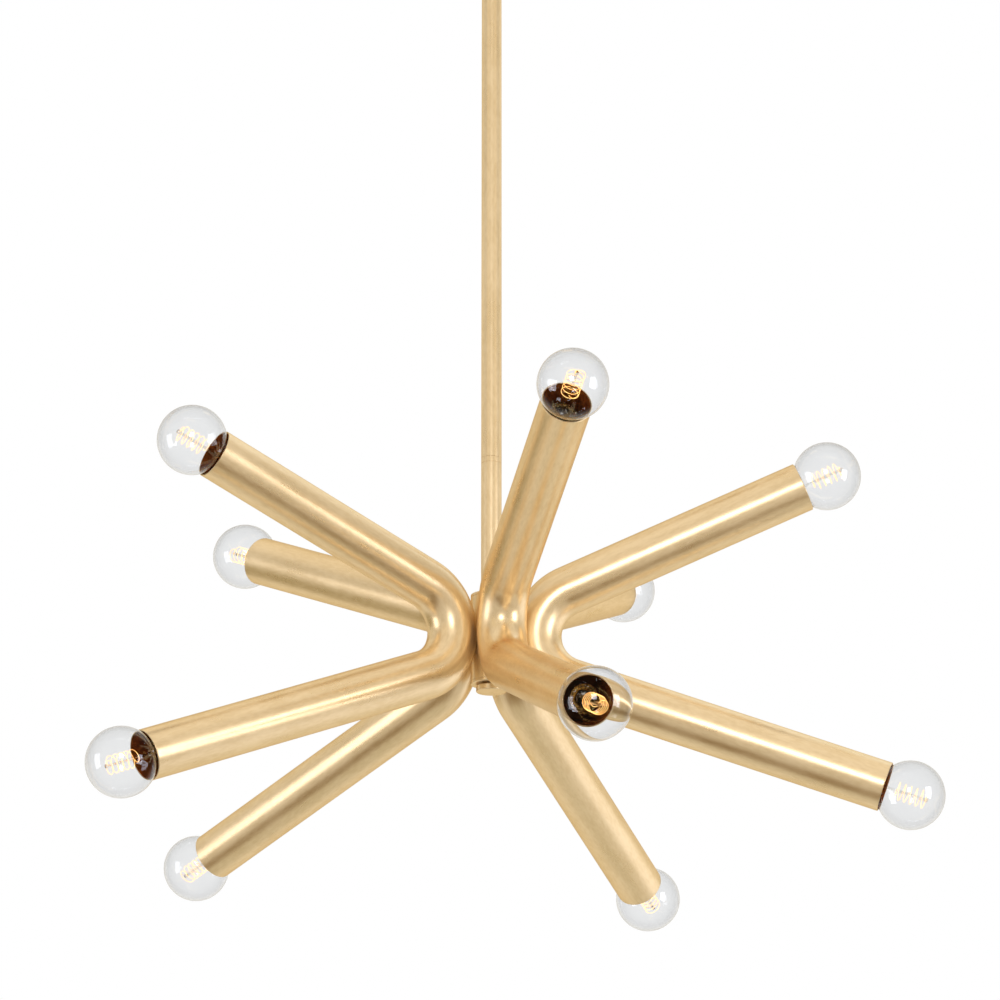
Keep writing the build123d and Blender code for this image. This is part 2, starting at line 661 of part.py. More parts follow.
def build_nodes():
    """Every piece of the chandelier in place, by its node's name."""
    places = [arm_place(index, setting) for index, setting in enumerate(ARM_SETTINGS.values())]
    lamp_places = {}
    for name, place in zip(ARM_SETTINGS, places):
        lamp_places[name + "_upper"] = place * lamp_place(1)
        lamp_places[name + "_lower"] = place * lamp_place(-1)

    nodes = {
        "canopy": make_canopy(),
        "crossbar": make_crossbar(),
        "canopy_studs": make_canopy_studs(),
        "canopy_nuts": make_canopy_nuts(),
        "earth_screw": make_earth_screw(),
        "seat_ring": make_seat_ring(),
        "swivel_ball": make_swivel_ball(),
        "stem_nipples": make_stem_nipples(),
        "nipple_nuts": make_nipple_nuts(),
        "upper_rod": make_rod(upper_rod_low, upper_rod_top),
        "rod_coupler": make_coupler(),
        "lower_rod": make_rod(post_top, lower_rod_top),
        "stem_lead": make_stem_lead(),
        "post": make_post(places),
        "post_top_cap": make_post_cap(post_top, 1, nipple_hole),
        "post_bottom_cap": make_post_cap(post_low, -1, KNOB_STUD_DIAMETER / 2 + THREAD_CLEARANCE),
        "finial": make_finial(),
        "terminal_block": make_terminal_block(),
    }

    tube = make_arm_tube()
    for name, place in zip(ARM_SETTINGS, places):
        nodes["arm_tube_" + name] = place * tube
    nipple = make_arm_nipple()
    nut = make_arm_nut()
    leads = [make_arm_lead(1), make_arm_lead(-1)]
    nodes["arm_nipples"] = [place * nipple for place in places]
    nodes["arm_nuts"] = [place * nut for place in places]
    nodes["arm_leads"] = [place * lead for place in places for lead in leads]

    holder_parts = {
        "holder_bodies": make_holder_body(),
        "holder_shells": make_holder_shell(),
        "holder_contacts": make_holder_contact(),
        "holder_discs": make_holder_disc(),
    }
    for name, solid in holder_parts.items():
        nodes[name] = [place * solid for place in lamp_places.values()]

    globe = make_globe()
    cap = make_lamp_cap()
    filament = make_filament()
    for name, place in lamp_places.items():
        nodes["globe_" + name] = place * globe
        nodes["cap_" + name] = [place * solid for solid in cap]
        nodes["filament_" + name] = [place * solid for solid in filament]
    return nodes


def write_nodes(nodes):
    """Write each node to its own STEP file."""
    os.makedirs("parts", exist_ok=True)
    for name, pieces in nodes.items():
        pieces = pieces if isinstance(pieces, list) else [pieces]
        solids = [solid for piece in pieces for solid in piece.solids()]
        shape = solids[0] if len(solids) == 1 else Compound(children=solids)
        export_step(shape, os.path.join("parts", name + ".step"))


if __name__ == "__main__":
    write_nodes(build_nodes())
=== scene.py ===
"""Looks of a stem-hung chandelier: five bent gold-leaf tubes, ten clear globe lamps, a post and a stem.

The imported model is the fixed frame. Every place is read from it, in metres, with the ceiling plane at z = 0.
"""

from __future__ import annotations

import json
import logging
import math
from collections.abc import Sequence
from dataclasses import dataclass, field
from enum import Enum

import bmesh
import bpy
import numpy as np
from mathutils import Matrix, Vector

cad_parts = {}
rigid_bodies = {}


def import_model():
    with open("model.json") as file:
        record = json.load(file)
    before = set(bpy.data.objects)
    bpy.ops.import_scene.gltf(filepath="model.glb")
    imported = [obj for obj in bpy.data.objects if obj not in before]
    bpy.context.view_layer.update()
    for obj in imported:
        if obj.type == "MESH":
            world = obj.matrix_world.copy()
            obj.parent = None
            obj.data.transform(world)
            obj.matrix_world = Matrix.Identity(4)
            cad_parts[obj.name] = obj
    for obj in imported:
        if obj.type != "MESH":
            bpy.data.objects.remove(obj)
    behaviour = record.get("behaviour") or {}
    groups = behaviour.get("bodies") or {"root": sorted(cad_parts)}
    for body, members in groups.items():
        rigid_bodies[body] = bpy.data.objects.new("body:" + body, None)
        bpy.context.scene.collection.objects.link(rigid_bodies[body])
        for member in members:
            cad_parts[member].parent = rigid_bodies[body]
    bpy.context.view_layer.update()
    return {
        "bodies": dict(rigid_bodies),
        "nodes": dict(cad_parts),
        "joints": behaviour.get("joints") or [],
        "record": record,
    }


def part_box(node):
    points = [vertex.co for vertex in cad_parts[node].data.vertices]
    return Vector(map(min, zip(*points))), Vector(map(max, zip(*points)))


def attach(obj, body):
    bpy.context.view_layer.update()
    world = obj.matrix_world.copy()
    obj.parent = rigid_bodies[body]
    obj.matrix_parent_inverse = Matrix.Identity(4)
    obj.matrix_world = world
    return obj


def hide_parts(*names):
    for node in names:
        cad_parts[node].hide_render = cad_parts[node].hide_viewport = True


LOG = logging.getLogger("chandelier")
MM = 0.001
TURN = 2.0 * math.pi
ORIGIN = Vector((0.0, 0.0, 0.0))
UP = Vector((0.0, 0.0, 1.0))
SKIN = "skin"
WAY_OUT = "way_out"

Colour = tuple[float, float, float]
Point = tuple[float, float]
Span = tuple[float, float]


class ArmName(Enum):
    """The five bent tubes, by where they stand round the post."""

    FRONT = "front"
    RIGHT = "right"
    BACK_RIGHT = "back_right"
    BACK_LEFT = "back_left"
    LEFT = "left"


class ArmEnd(Enum):
    """The two ends of a bent tube."""

    UPPER = "upper"
    LOWER = "lower"


class PatternSpace(Enum):
    """What a finish lays its pattern on."""

    PLACE = "object"
    SKIN = "skin"


# Node helpers


class NodeBench:
    """Adds and wires the nodes of one tree in short calls."""

    def __init__(self, tree: bpy.types.NodeTree) -> None:
        """Keeps the tree that the calls add to."""
        self.tree = tree

    def feed(self, socket: bpy.types.NodeSocket, value: object) -> None:
        """Links a socket to an input, or sets the input's own value.

        Args:
            socket: The input.
            value: An output socket, or a plain value.
        """
        if isinstance(value, bpy.types.NodeSocket):
            self.tree.links.new(value, socket)
        else:
            socket.default_value = value

    def add(
        self, kind: str, feeds: dict[str | int, object] | None = None, **settings: object
    ) -> bpy.types.Node:
        """Adds one node.

        Args:
            kind: The node's type name.
            feeds: Values or sockets for its inputs, by name or place.
            settings: Its own properties.

        Returns:
            The new node.
        """
        node = self.tree.nodes.new(kind)
        for name, value in settings.items():
            setattr(node, name, value)
        for key, value in (feeds or {}).items():
            self.feed(node.inputs[key], value)
        return node

    def math(self, operation: str, *values: object) -> bpy.types.NodeSocket:
        """Returns the result of one number operation."""
        return self.add("ShaderNodeMath", dict(enumerate(values)), operation=operation).outputs[0]

    def whole(self, operation: str, *values: object) -> bpy.types.NodeSocket:
        """Returns the result of one whole-number operation."""
        return self.add("FunctionNodeIntegerMath", dict(enumerate(values)), operation=operation).outputs[0]

    def scaled(self, vector: object, factor: object) -> bpy.types.NodeSocket:
        """Returns a vector times a number."""
        return self.add("ShaderNodeVectorMath", {0: vector, "Scale": factor}, operation="SCALE").outputs[0]

    def summed(self, first: object, second: object) -> bpy.types.NodeSocket:
        """Returns the sum of two vectors."""
        return self.add("ShaderNodeVectorMath", {0: first, 1: second}, operation="ADD").outputs[0]

    def blended(self, factor: object, first: object, second: object) -> bpy.types.NodeSocket:
        """Returns a mix of two colours."""
        return self.add("ShaderNodeMix", {0: factor, 6: first, 7: second}, data_type="RGBA").outputs[2]

    def ranged(self, value: object, span: Span, target: Span = (0.0, 1.0)) -> bpy.types.NodeSocket:
        """Returns a value carried smoothly from one range to another."""
        feeds = dict(enumerate((value, *span, *target)))
        return self.add("ShaderNodeMapRange", feeds, interpolation_type="SMOOTHSTEP").outputs[0]

    def noise(self, place: object, size: float, detail: float, rough: float = 0.5) -> bpy.types.NodeSocket:
        """Returns soft noise with patches of a size."""
        feeds = {"Vector": place, "Scale": 1.0 / size, "Detail": detail, "Roughness": rough}
        return self.add("ShaderNodeTexNoise", feeds).outputs[0]


def cleared_bench(owner: bpy.types.Material | bpy.types.World) -> NodeBench:
    """Empties the node tree of a material or a world.

    Args:
        owner: The material or world.

    Returns:
        A bench on its tree.
    """
    owner.use_nodes = True
    owner.node_tree.nodes.clear()
    return NodeBench(owner.node_tree)


def opaque(colour: Colour) -> tuple[float, float, float, float]:
    """Returns a colour with full cover."""
    return (*colour, 1.0)


def new_material(name: str) -> tuple[bpy.types.Material, NodeBench, bpy.types.Node]:
    """Makes an empty material with one principled surface.

    Args:
        name: The material's name.

    Returns:
        The material, a bench on its tree, and its surface shader.
    """
    material = bpy.data.materials.new(name)
    bench = cleared_bench(material)
    surface = bench.add("ShaderNodeBsdfPrincipled")
    bench.add("ShaderNodeOutputMaterial", {"Surface": surface.outputs[0]})
    return material, bench, surface


# Finishes

TONE_SPAN = (0.34, 0.66)
GLOSS_SPAN = (0.3, 0.7)
PATCH_SPAN = (0.35, 0.65)
CLOUD_SHARE = 0.6
CLOUD_DETAIL = 4.0
CLOUD_ROUGH = 0.6


@dataclass(frozen=True)
class MottledFinish:
    """An opaque finish whose tone, gloss and surface vary in soft clouds and fine grain."""

    name: str
    dark: Colour
    light: Colour
    metallic: float
    gloss_rough: Span
    cloud: float
    grain: float
    wave_depth: float = 0.0
    streak: float = 1.0
    edge_tint: Colour = (1.0, 1.0, 1.0)
    space: PatternSpace = PatternSpace.PLACE

    def material(self) -> bpy.types.Material:
        """Builds the finish's node tree.

        Returns:
            The material.
        """
        material, bench, surface = new_material(self.name)
        if self.space is PatternSpace.SKIN:
            place = bench.add("ShaderNodeAttribute", attribute_name=SKIN).outputs["Vector"]
        else:
            place = bench.add("ShaderNodeTexCoord").outputs["Object"]
        drawn = bench.add("ShaderNodeMapping", {0: place, "Scale": (1.0, 1.0, self.streak)}).outputs[0]
        clouds = bench.noise(drawn, self.cloud, CLOUD_DETAIL, CLOUD_ROUGH)
        grain = bench.noise(drawn, self.grain, 1.0)
        cloud_part = bench.math("MULTIPLY", clouds, CLOUD_SHARE)
        tone = bench.math("ADD", cloud_part, bench.math("MULTIPLY", grain, 1.0 - CLOUD_SHARE))
        spread = bench.ranged(tone, TONE_SPAN)
        colour = bench.blended(spread, opaque(self.dark), opaque(self.light))
        bench.feed(surface.inputs["Base Color"], colour)
        bench.feed(surface.inputs["Roughness"], bench.ranged(clouds, GLOSS_SPAN, self.gloss_rough))
        surface.inputs["Metallic"].default_value = self.metallic
        surface.inputs["Specular Tint"].default_value = opaque(self.edge_tint)
        if self.wave_depth:
            waves = bench.noise(drawn, self.cloud, 1.0)
            depth = bench.math("MULTIPLY", waves, self.wave_depth)
            relief = bench.add("ShaderNodeBump", {"Strength": 1.0, "Distance": 1.0, "Height": depth})
            bench.feed(surface.inputs["Normal"], relief.outputs[0])
        return material


@dataclass(frozen=True)
class ClearGlass:
    """Blown clear glass, very faintly clouded."""

    name: str
    clear: Colour
    clouded: Colour
    cloud: float = 14.0 * MM
    bend: float = 1.45

    def material(self) -> bpy.types.Material:
        """Builds the glass.

        Returns:
            The material.
        """
        material, bench, surface = new_material(self.name)
        place = bench.add("ShaderNodeTexCoord").outputs["Object"]
        share = bench.ranged(bench.noise(place, self.cloud, 1.0), PATCH_SPAN)
        colour = bench.blended(share, opaque(self.clouded), opaque(self.clear))
        bench.feed(surface.inputs["Base Color"], colour)
        surface.inputs["Roughness"].default_value = 0.0
        surface.inputs["IOR"].default_value = self.bend
        surface.inputs["Transmission Weight"].default_value = 1.0
        return material


@dataclass(frozen=True)
class HotWire:
    """A glowing wire, a little cooler in places along its length: the filament's own heat glow, and on the
    support wires mostly a painted glow.
    """

    name: str
    hot: Colour
    warm: Colour
    strength: float
    patch: float = 5.0 * MM
    metal: Colour = (0.2, 0.16, 0.12)

    def material(self) -> bpy.types.Material:
        """Builds the glow.

        Returns:
            The material.
        """
        material, bench, surface = new_material(self.name)
        place = bench.add("ShaderNodeTexCoord").outputs["Object"]
        share = bench.ranged(bench.noise(place, self.patch, 2.0), PATCH_SPAN)
        colour = bench.blended(share, opaque(self.warm), opaque(self.hot))
        bench.feed(surface.inputs["Emission Color"], colour)
        surface.inputs["Base Color"].default_value = opaque(self.metal)
        surface.inputs["Emission Strength"].default_value = self.strength
        surface.inputs["Roughness"].default_value = 0.5
        material.cycles.emission_sampling = "NONE"
        return material


GOLD_DARK = (0.79, 0.605, 0.345)
GOLD_LIGHT = (0.88, 0.695, 0.425)
GOLD_EDGE = (0.92, 0.76, 0.5)
GOLD_METALLIC = 0.86
GOLD_ROUGH = (0.27, 0.33)
TUBE_GOLD = MottledFinish(
    "gold_leaf_tube",
    GOLD_DARK,
    GOLD_LIGHT,
    GOLD_METALLIC,
    GOLD_ROUGH,
    12 * MM,
    1.8 * MM,
    wave_depth=0.015 * MM,
    streak=0.3,
    edge_tint=GOLD_EDGE,
    space=PatternSpace.SKIN,
)
PLAIN_GOLD = MottledFinish(
    "gold_leaf",
    GOLD_DARK,
    GOLD_LIGHT,
    GOLD_METALLIC,
    GOLD_ROUGH,
    9 * MM,
    1.4 * MM,
    wave_depth=0.04 * MM,
    edge_tint=GOLD_EDGE,
)
# The inside wall of each tube: dark red-brown in place of the gold, with a red edge tint.
MOUTH_DARK_INSIDE = MottledFinish(
    "mouth_lining",
    (0.34, 0.06, 0.01),
    (0.60, 0.17, 0.03),
    0.15,
    (0.14, 0.24),
    6 * MM,
    1.2 * MM,
    wave_depth=0.05 * MM,
    edge_tint=(0.5, 0.14, 0.03),
    space=PatternSpace.SKIN,
)
# Painted shade: the zinc-plated holder discs deep in the tube mouths are painted near-black brown, with a
# reddish edge tint, for the shade they sit in.
DISC_PAINTED_SHADE = MottledFinish(
    "blacked_steel",
    (0.05, 0.010, 0.003),
    (0.12, 0.030, 0.007),
    0.3,
    (0.3, 0.45),
    4 * MM,
    0.7 * MM,
    edge_tint=(0.4, 0.12, 0.03),
)
ZINC = MottledFinish(
    "zinc_plate", (0.44, 0.45, 0.46), (0.60, 0.60, 0.59), 1.0, (0.28, 0.45), 3 * MM, 0.6 * MM
)
NYLON = MottledFinish(
    "white_nylon", (0.70, 0.69, 0.65), (0.78, 0.77, 0.73), 0.0, (0.38, 0.5), 5 * MM, 0.8 * MM
)
EARTH_GREEN = MottledFinish(
    "earth_green", (0.02, 0.17, 0.05), (0.04, 0.24, 0.08), 0.2, (0.3, 0.4), 3 * MM, 0.6 * MM
)
JACKET = MottledFinish(
    "lead_jacket", (0.62, 0.60, 0.55), (0.70, 0.68, 0.62), 0.0, (0.42, 0.55), 4 * MM, 0.7 * MM
)
INSULATOR = MottledFinish(
    "moulded_insulator", (0.018, 0.013, 0.010), (0.05, 0.035, 0.025), 0.0, (0.28, 0.42), 4 * MM, 0.7 * MM
)
BRASS = MottledFinish(
    "rolled_brass", (0.40, 0.30, 0.10), (0.58, 0.46, 0.20), 1.0, (0.2, 0.34), 3 * MM, 0.5 * MM
)
NICKEL = MottledFinish(
    "nickel_plate", (0.52, 0.49, 0.44), (0.66, 0.63, 0.58), 1.0, (0.18, 0.3), 3 * MM, 0.5 * MM
)
SOLDER = MottledFinish(
    "solder", (0.36, 0.36, 0.36), (0.52, 0.52, 0.51), 1.0, (0.35, 0.5), 2 * MM, 0.5 * MM
)
PALE_FLOOR = MottledFinish(
    "pale_floor", (0.89, 0.89, 0.885), (0.92, 0.92, 0.915), 0.0, (0.6, 0.7), 400 * MM, 50 * MM
)
GLOBE_GLASS = ClearGlass("clear_glass", (0.965, 0.97, 0.972), (0.955, 0.96, 0.963))
MOUNT_GLASS = ClearGlass("mount_glass", (0.90, 0.90, 0.88), (0.84, 0.84, 0.81), cloud=4 * MM)
FILAMENT_GLOW = HotWire("hot_tungsten", (1.0, 0.60, 0.17), (1.0, 0.42, 0.08), 3.0)
# Painted glow: the support wires glow weakly along their whole length for the filament's light that they
# catch; only their ends at the coil touch the hot filament.
SUPPORT_PAINTED_GLOW = HotWire("warm_supports", (1.0, 0.56, 0.20), (0.85, 0.36, 0.09), 1.1, patch=2.0 * MM)


# Studio


@dataclass(frozen=True)
class Softbox:
    """One rectangular studio light, by its direction from the chandelier in degrees."""

    name: str
    azimuth: float
    elevation: float
    width: float
    height: float
    radiance: float
    colour: Colour = (0.93, 0.92, 1.0)
    distance: float = 2.2


@dataclass(frozen=True)
class StudioTone:
    """A soft patch of the studio's walls that metal or glass mirrors, in degrees."""

    azimuth: float
    elevation: float
    inner: float
    outer: float
    colour: Colour


def studio_direction(azimuth: float, elevation: float) -> Vector:
    """Finds a direction in the studio.

    Args:
        azimuth: Degrees from straight in front of the chandelier, to the viewer's right.
        elevation: Degrees above the horizon.

    Returns:
        The unit direction from the chandelier.
    """
    turn, rise = math.radians(azimuth), math.radians(elevation)
    return Vector((math.sin(turn) * math.cos(rise), -math.cos(turn) * math.cos(rise), math.sin(rise)))


def stage_panel(name: str, corners: Sequence[Vector], material: bpy.types.Material) -> bpy.types.Object:
    """Puts one flat panel in the studio, apart from the chandelier.

    Args:
        name: The panel's name.
        corners: Its four corners in order.
        material: Its material.

    Returns:
        The panel.
    """
    mesh = bpy.data.meshes.new(name)
    mesh.from_pydata(corners, [], [(0, 1, 2, 3)])
    mesh.materials.append(material)
    panel = bpy.data.objects.new(name, mesh)
    bpy.context.scene.collection.objects.link(panel)
    return panel


def straight_through(bench: NodeBench, path: bpy.types.NodeOutputs) -> bpy.types.NodeSocket:
    """Returns 1 for a look through glass that nothing mirrored on its way."""
    unmirrored = bench.math("LESS_THAN", path["Glossy Depth"], 0.5)
    return bench.math("MULTIPLY", path["Is Transmission Ray"], unmirrored)


@dataclass
class Studio:
    """The camera, the lights, the white surroundings and the pale floor."""

    centre: Vector = field(default_factory=lambda: Vector((0.0, 0.0, -0.62)))
    camera_place: tuple[float, float, float] = (0.0, -3.0556, -1.4624)
    camera_turn: tuple[float, float, float] = (107.03, 0.0, -0.1254)
    lens: float = 148.35
    sensor: float = 36.0
    clip: Span = (0.05, 100.0)
    floor_level: float = -2.6
    floor_reach: float = 20.0
    wall_tone: Colour = (0.65, 0.615, 0.57)
    fill: float = 0.95
    glass_tone: Colour = (0.03, 0.02, 0.012)
    glass_tones: tuple[StudioTone, ...] = (StudioTone(180.0, 0.0, 15.0, 68.0, (0.85, 0.82, 0.76)),)
    softboxes: tuple[Softbox, ...] = (
        Softbox("softbox_left", -74.0, -4.0, 0.75, 1.2, 3.1),
        Softbox("softbox_front", -2.0, 2.0, 0.5, 0.55, 8.6),
        Softbox("softbox_right", 60.0, -2.0, 0.75, 1.1, 5.0),
    )
    tones: tuple[StudioTone, ...] = (
        StudioTone(180.0, 0.0, 50.0, 105.0, (0.85, 0.81, 0.74)),
        StudioTone(180.0, 20.0, 8.0, 36.0, (0.66, 0.58, 0.45)),
        StudioTone(0.0, 80.0, 20.0, 60.0, (1.0, 0.94, 0.87)),
        StudioTone(4.0, 24.0, 4.0, 17.0, (1.05, 0.98, 0.90)),
        StudioTone(-36.0, 21.0, 6.0, 22.0, (0.92, 0.83, 0.70)),
        StudioTone(42.0, 21.0, 6.0, 22.0, (0.92, 0.83, 0.70)),
        StudioTone(0.0, -90.0, 10.0, 40.0, (0.60, 0.57, 0.48)),
        StudioTone(140.0, 45.0, 8.0, 30.0, (1.15, 1.26, 1.5)),
        StudioTone(-115.0, -10.0, 8.0, 28.0, (0.37, 0.31, 0.17)),
        StudioTone(112.0, -12.0, 8.0, 32.0, (1.28, 1.27, 1.35)),
        StudioTone(-60.0, -57.0, 7.0, 20.0, (0.19, 0.10, 0.0)),
        StudioTone(-20.0, -57.0, 7.0, 20.0, (0.19, 0.10, 0.0)),
        StudioTone(20.0, -57.0, 7.0, 20.0, (0.19, 0.10, 0.0)),
    )

    def build(self) -> None:
        """Sets up the whole studio."""
        bpy.context.scene.view_settings.view_transform = "Standard"
        self._camera()
        for softbox in self.softboxes:
            self._light(softbox)
        self._surroundings()
        self._floor()

    def _camera(self) -> None:
        """Puts the camera where the photograph was taken from."""
        data = bpy.data.cameras.new("camera")
        data.lens, data.sensor_width = self.lens, self.sensor
        data.clip_start, data.clip_end = self.clip
        camera = bpy.data.objects.new("camera", data)
        camera.location = self.camera_place
        camera.rotation_euler = [math.radians(angle) for angle in self.camera_turn]
        bpy.context.scene.collection.objects.link(camera)
        bpy.context.scene.camera = camera

    def _light(self, softbox: Softbox) -> None:
        """Hangs one softbox, a glowing panel that faces the chandelier and isn't seen itself.

        Args:
            softbox: Its place, size and strength.
        """
        away = studio_direction(softbox.azimuth, softbox.elevation)
        facing = away.to_track_quat("-Z", "Y").to_matrix()
        across, upright = facing.col[0] * softbox.width / 2.0, facing.col[1] * softbox.height / 2.0
        place = self.centre + away * softbox.distance
        sides = ((-1, -1), (1, -1), (1, 1), (-1, 1))
        corners = [place + across * x + upright * y for x, y in sides]
        panel = stage_panel(softbox.name, corners, self._panel_glow(softbox))
        panel.visible_camera = False

    def _panel_glow(self, softbox: Softbox) -> bpy.types.Material:
        """Makes a softbox's glow, which a look straight through glass passes by.

        Args:
            softbox: Its colour and strength.

        Returns:
            The material.
        """
        material = bpy.data.materials.new(softbox.name)
        bench = cleared_bench(material)
        through = straight_through(bench, bench.add("ShaderNodeLightPath").outputs)
        feeds = {"Color": opaque(softbox.colour), "Strength": softbox.radiance}
        glow = bench.add("ShaderNodeEmission", feeds)
        clear = bench.add("ShaderNodeBsdfTransparent")
        mixed = bench.add("ShaderNodeMixShader", {0: through, 1: glow.outputs[0], 2: clear.outputs[0]})
        bench.add("ShaderNodeOutputMaterial", {"Surface": mixed.outputs[0]})
        return material

    def _surroundings(self) -> None:
        """Makes the world: white to the eye and through glass, toned in mirrors, an even fill elsewhere."""
        world = bpy.data.worlds.new("studio")
        bpy.context.scene.world = world
        world.cycles.sampling_method = "NONE"
        bench = cleared_bench(world)
        way = bench.add("ShaderNodeTexCoord").outputs["Generated"]
        in_metal = self._toned(bench, way, self.wall_tone, self.tones)
        in_glass = self._toned(bench, way, self.glass_tone, self.glass_tones)
        path = bench.add("ShaderNodeLightPath").outputs
        fill = opaque((self.fill, self.fill, self.fill))
        satin = bench.math("SUBTRACT", path["Is Glossy Ray"], path["Is Singular Ray"])
        mirrored = bench.blended(satin, in_glass, in_metal)
        lit = bench.blended(path["Is Diffuse Ray"], mirrored, fill)
        seen = bench.math("MAXIMUM", path["Is Camera Ray"], straight_through(bench, path))
        shade = bench.blended(seen, lit, opaque((1.0, 1.0, 1.0)))
        glow = bench.add("ShaderNodeBackground", {"Color": shade, "Strength": 1.0})
        bench.add("ShaderNodeOutputWorld", {"Surface": glow.outputs[0]})

    def _toned(
        self, bench: NodeBench, way: bpy.types.NodeSocket, wall: Colour, tones: Sequence[StudioTone]
    ) -> bpy.types.NodeSocket:
        """Lays soft patches of tone over an even wall.

        Args:
            bench: The world's nodes.
            way: The direction looked in.
            wall: The colour between the patches.
            tones: The patches, later ones on top.

        Returns:
            The colour in that direction.
        """
        colour: object = opaque(wall)
        for tone in tones:
            aim = studio_direction(tone.azimuth, tone.elevation)
            feeds = {0: way, 1: tuple(aim)}
            near = bench.add("ShaderNodeVectorMath", feeds, operation="DOT_PRODUCT").outputs["Value"]
            edge, core = math.cos(math.radians(tone.outer)), math.cos(math.radians(tone.inner))
            colour = bench.blended(bench.ranged(near, (edge, core)), colour, opaque(tone.colour))
        return colour

    def _floor(self) -> None:
        """Lays the pale floor far below the chandelier."""
        reach, level = self.floor_reach, self.floor_level
        sides = ((-reach, -reach), (reach, -reach), (reach, reach), (-reach, reach))
        corners = [Vector((x, y, level)) for x, y in sides]
        floor = stage_panel("studio_floor", corners, PALE_FLOOR.material())
        floor.visible_glossy = False
        floor.visible_transmission = False


# Shapes made by rule

ARC_SUPPORT = 0.25 * MM
WELD = 0.002 * MM
AXIS_OVERHANG = 10 * MM
SPOKE_SIDES = 8


@dataclass(frozen=True)
class Corner:
    """One corner of a turned outline, with the radius that rounds it."""

    radius: float
    height: float
    rounding: float = 0.0


def rounded_outline(corners: Sequence[Corner], closed: bool = True, steps: int = 5) -> list[Point]:
    """Rounds the corners of an outline and adds a support point beside each arc.

    Args:
        corners: The corners in order.
        closed: Whether the last corner joins the first.
        steps: Points in each rounded corner.

    Returns:
        The outline's points as radius and height.
    """
    count = len(corners)
    points: list[Point] = []
    for i, corner in enumerate(corners):
        here = np.array((corner.radius, corner.height))
        if not corner.rounding or (not closed and i in (0, count - 1)):
            points.append(tuple(here))
            continue
        before, after = corners[i - 1], corners[(i + 1) % count]
        back = np.array((before.radius, before.height)) - here
        ahead = np.array((after.radius, after.height)) - here
        back, ahead = back / np.linalg.norm(back), ahead / np.linalg.norm(ahead)
        half = math.acos(float(np.clip(back @ ahead, -1.0, 1.0))) / 2.0
        reach = corner.rounding / math.tan(half)
        middle = here + (back + ahead) / np.linalg.norm(back + ahead) * corner.rounding / math.sin(half)
        first = here + back * reach - middle
        swing = math.pi - 2.0 * half
        if first[1] * back[0] - first[0] * back[1] < 0.0:
            swing = -swing
        points.append(tuple(here + back * (reach + ARC_SUPPORT)))
        for k in range(steps + 1):
            turn = swing * k / steps
            cos, sin = math.cos(turn), math.sin(turn)
            spoke = (first[0] * cos - first[1] * sin, first[0] * sin + first[1] * cos)
            points.append(tuple(middle + spoke))
        points.append(tuple(here + ahead * (reach + ARC_SUPPORT)))
    if closed:
        points.append(points[0])
    return points


def arc_points(centre: Point, radius: float, start: float, end: float, steps: int) -> list[Point]:
    """Lists points on an arc.

    Args:
        centre: The arc's centre as radius and height.
        radius: Its radius.
        start: Its first angle in degrees.
        end: Its last angle in degrees.
        steps: How many parts it has.

    Returns:
        The points, both ends among them.
    """
    turns = [math.radians(start + (end - start) * k / steps) for k in range(steps + 1)]
    return [(centre[0] + radius * math.cos(t), centre[1] + radius * math.sin(t)) for t in turns]


@dataclass(frozen=True)
class Thread:
    """A screw thread on a turned piece, between two heights."""

    depth: float = 0.0
    pitch: float = 1.0
    low: float = 0.0
    high: float = 0.0


@dataclass(frozen=True)
class Axis:
    """The line that a piece is turned on, and the height at its first point."""

    points: tuple[Vector, ...]
    start: float = 0.0

    @classmethod
    def upright(cls, low: float, high: float, middle: Vector = ORIGIN) -> Axis:
        """Returns an upright axis over a point that passes two heights."""
        low, high = low - AXIS_OVERHANG, high + AXIS_OVERHANG
        return cls((middle + UP * low, middle + UP * high), low)


class TreeMaker:
    """A Geometry Nodes tree with named inputs, and the way its result becomes a plain mesh."""

    def __init__(self, name: str, inputs: dict[str, str]) -> None:
        """Makes the tree and its sockets.

        Args:
            name: The tree's name.
            inputs: The kind of socket for each named input.
        """
        self.tree = bpy.data.node_groups.new(name, "GeometryNodeTree")
        self.bench = NodeBench(self.tree)
        self.tree.interface.new_socket("Geometry", in_out="INPUT", socket_type="NodeSocketGeometry")
        self.sockets = {
            label: self.tree.interface.new_socket(label, in_out="INPUT", socket_type=kind).identifier
            for label, kind in inputs.items()
        }
        self.tree.interface.new_socket("Geometry", in_out="OUTPUT", socket_type="NodeSocketGeometry")
        self.given = self.bench.add("NodeGroupInput").outputs

    def close(self, shape: bpy.types.NodeSocket) -> None:
        """Ends the tree: smooth faces, real instances, and the finish.

        Args:
            shape: The geometry made so far.
        """
        smooth = self.bench.add("GeometryNodeSetShadeSmooth", {"Geometry": shape}).outputs[0]
        real = self.bench.add("GeometryNodeRealizeInstances", {"Geometry": smooth}).outputs[0]
        feeds = {"Geometry": real, "Material": self.given["Finish"]}
        dressed = self.bench.add("GeometryNodeSetMaterial", feeds).outputs[0]
        self.bench.add("NodeGroupOutput", {"Geometry": dressed})

    def make(self, name: str, host: bpy.types.ID, values: dict[str, object]) -> bpy.types.Mesh:
        """Runs the tree on some data and returns the result as a plain mesh.

        Args:
            name: The mesh's name.
            host: The mesh or curve that the tree starts from.
            values: A value for each named input.

        Returns:
            The finished mesh.
        """
        carrier = bpy.data.objects.new(name + "_carrier", host)
        bpy.context.scene.collection.objects.link(carrier)
        modifier = carrier.modifiers.new("shape", "NODES")
        modifier.node_group = self.tree
        for label, value in values.items():
            modifier[self.sockets[label]] = value
        graph = bpy.context.evaluated_depsgraph_get()
        mesh = bpy.data.meshes.new_from_object(
            carrier.evaluated_get(graph), preserve_all_data_layers=True, depsgraph=graph
        )
        mesh.name = name
        carrier.modifiers.remove(modifier)
        bpy.data.objects.remove(carrier)
        return mesh


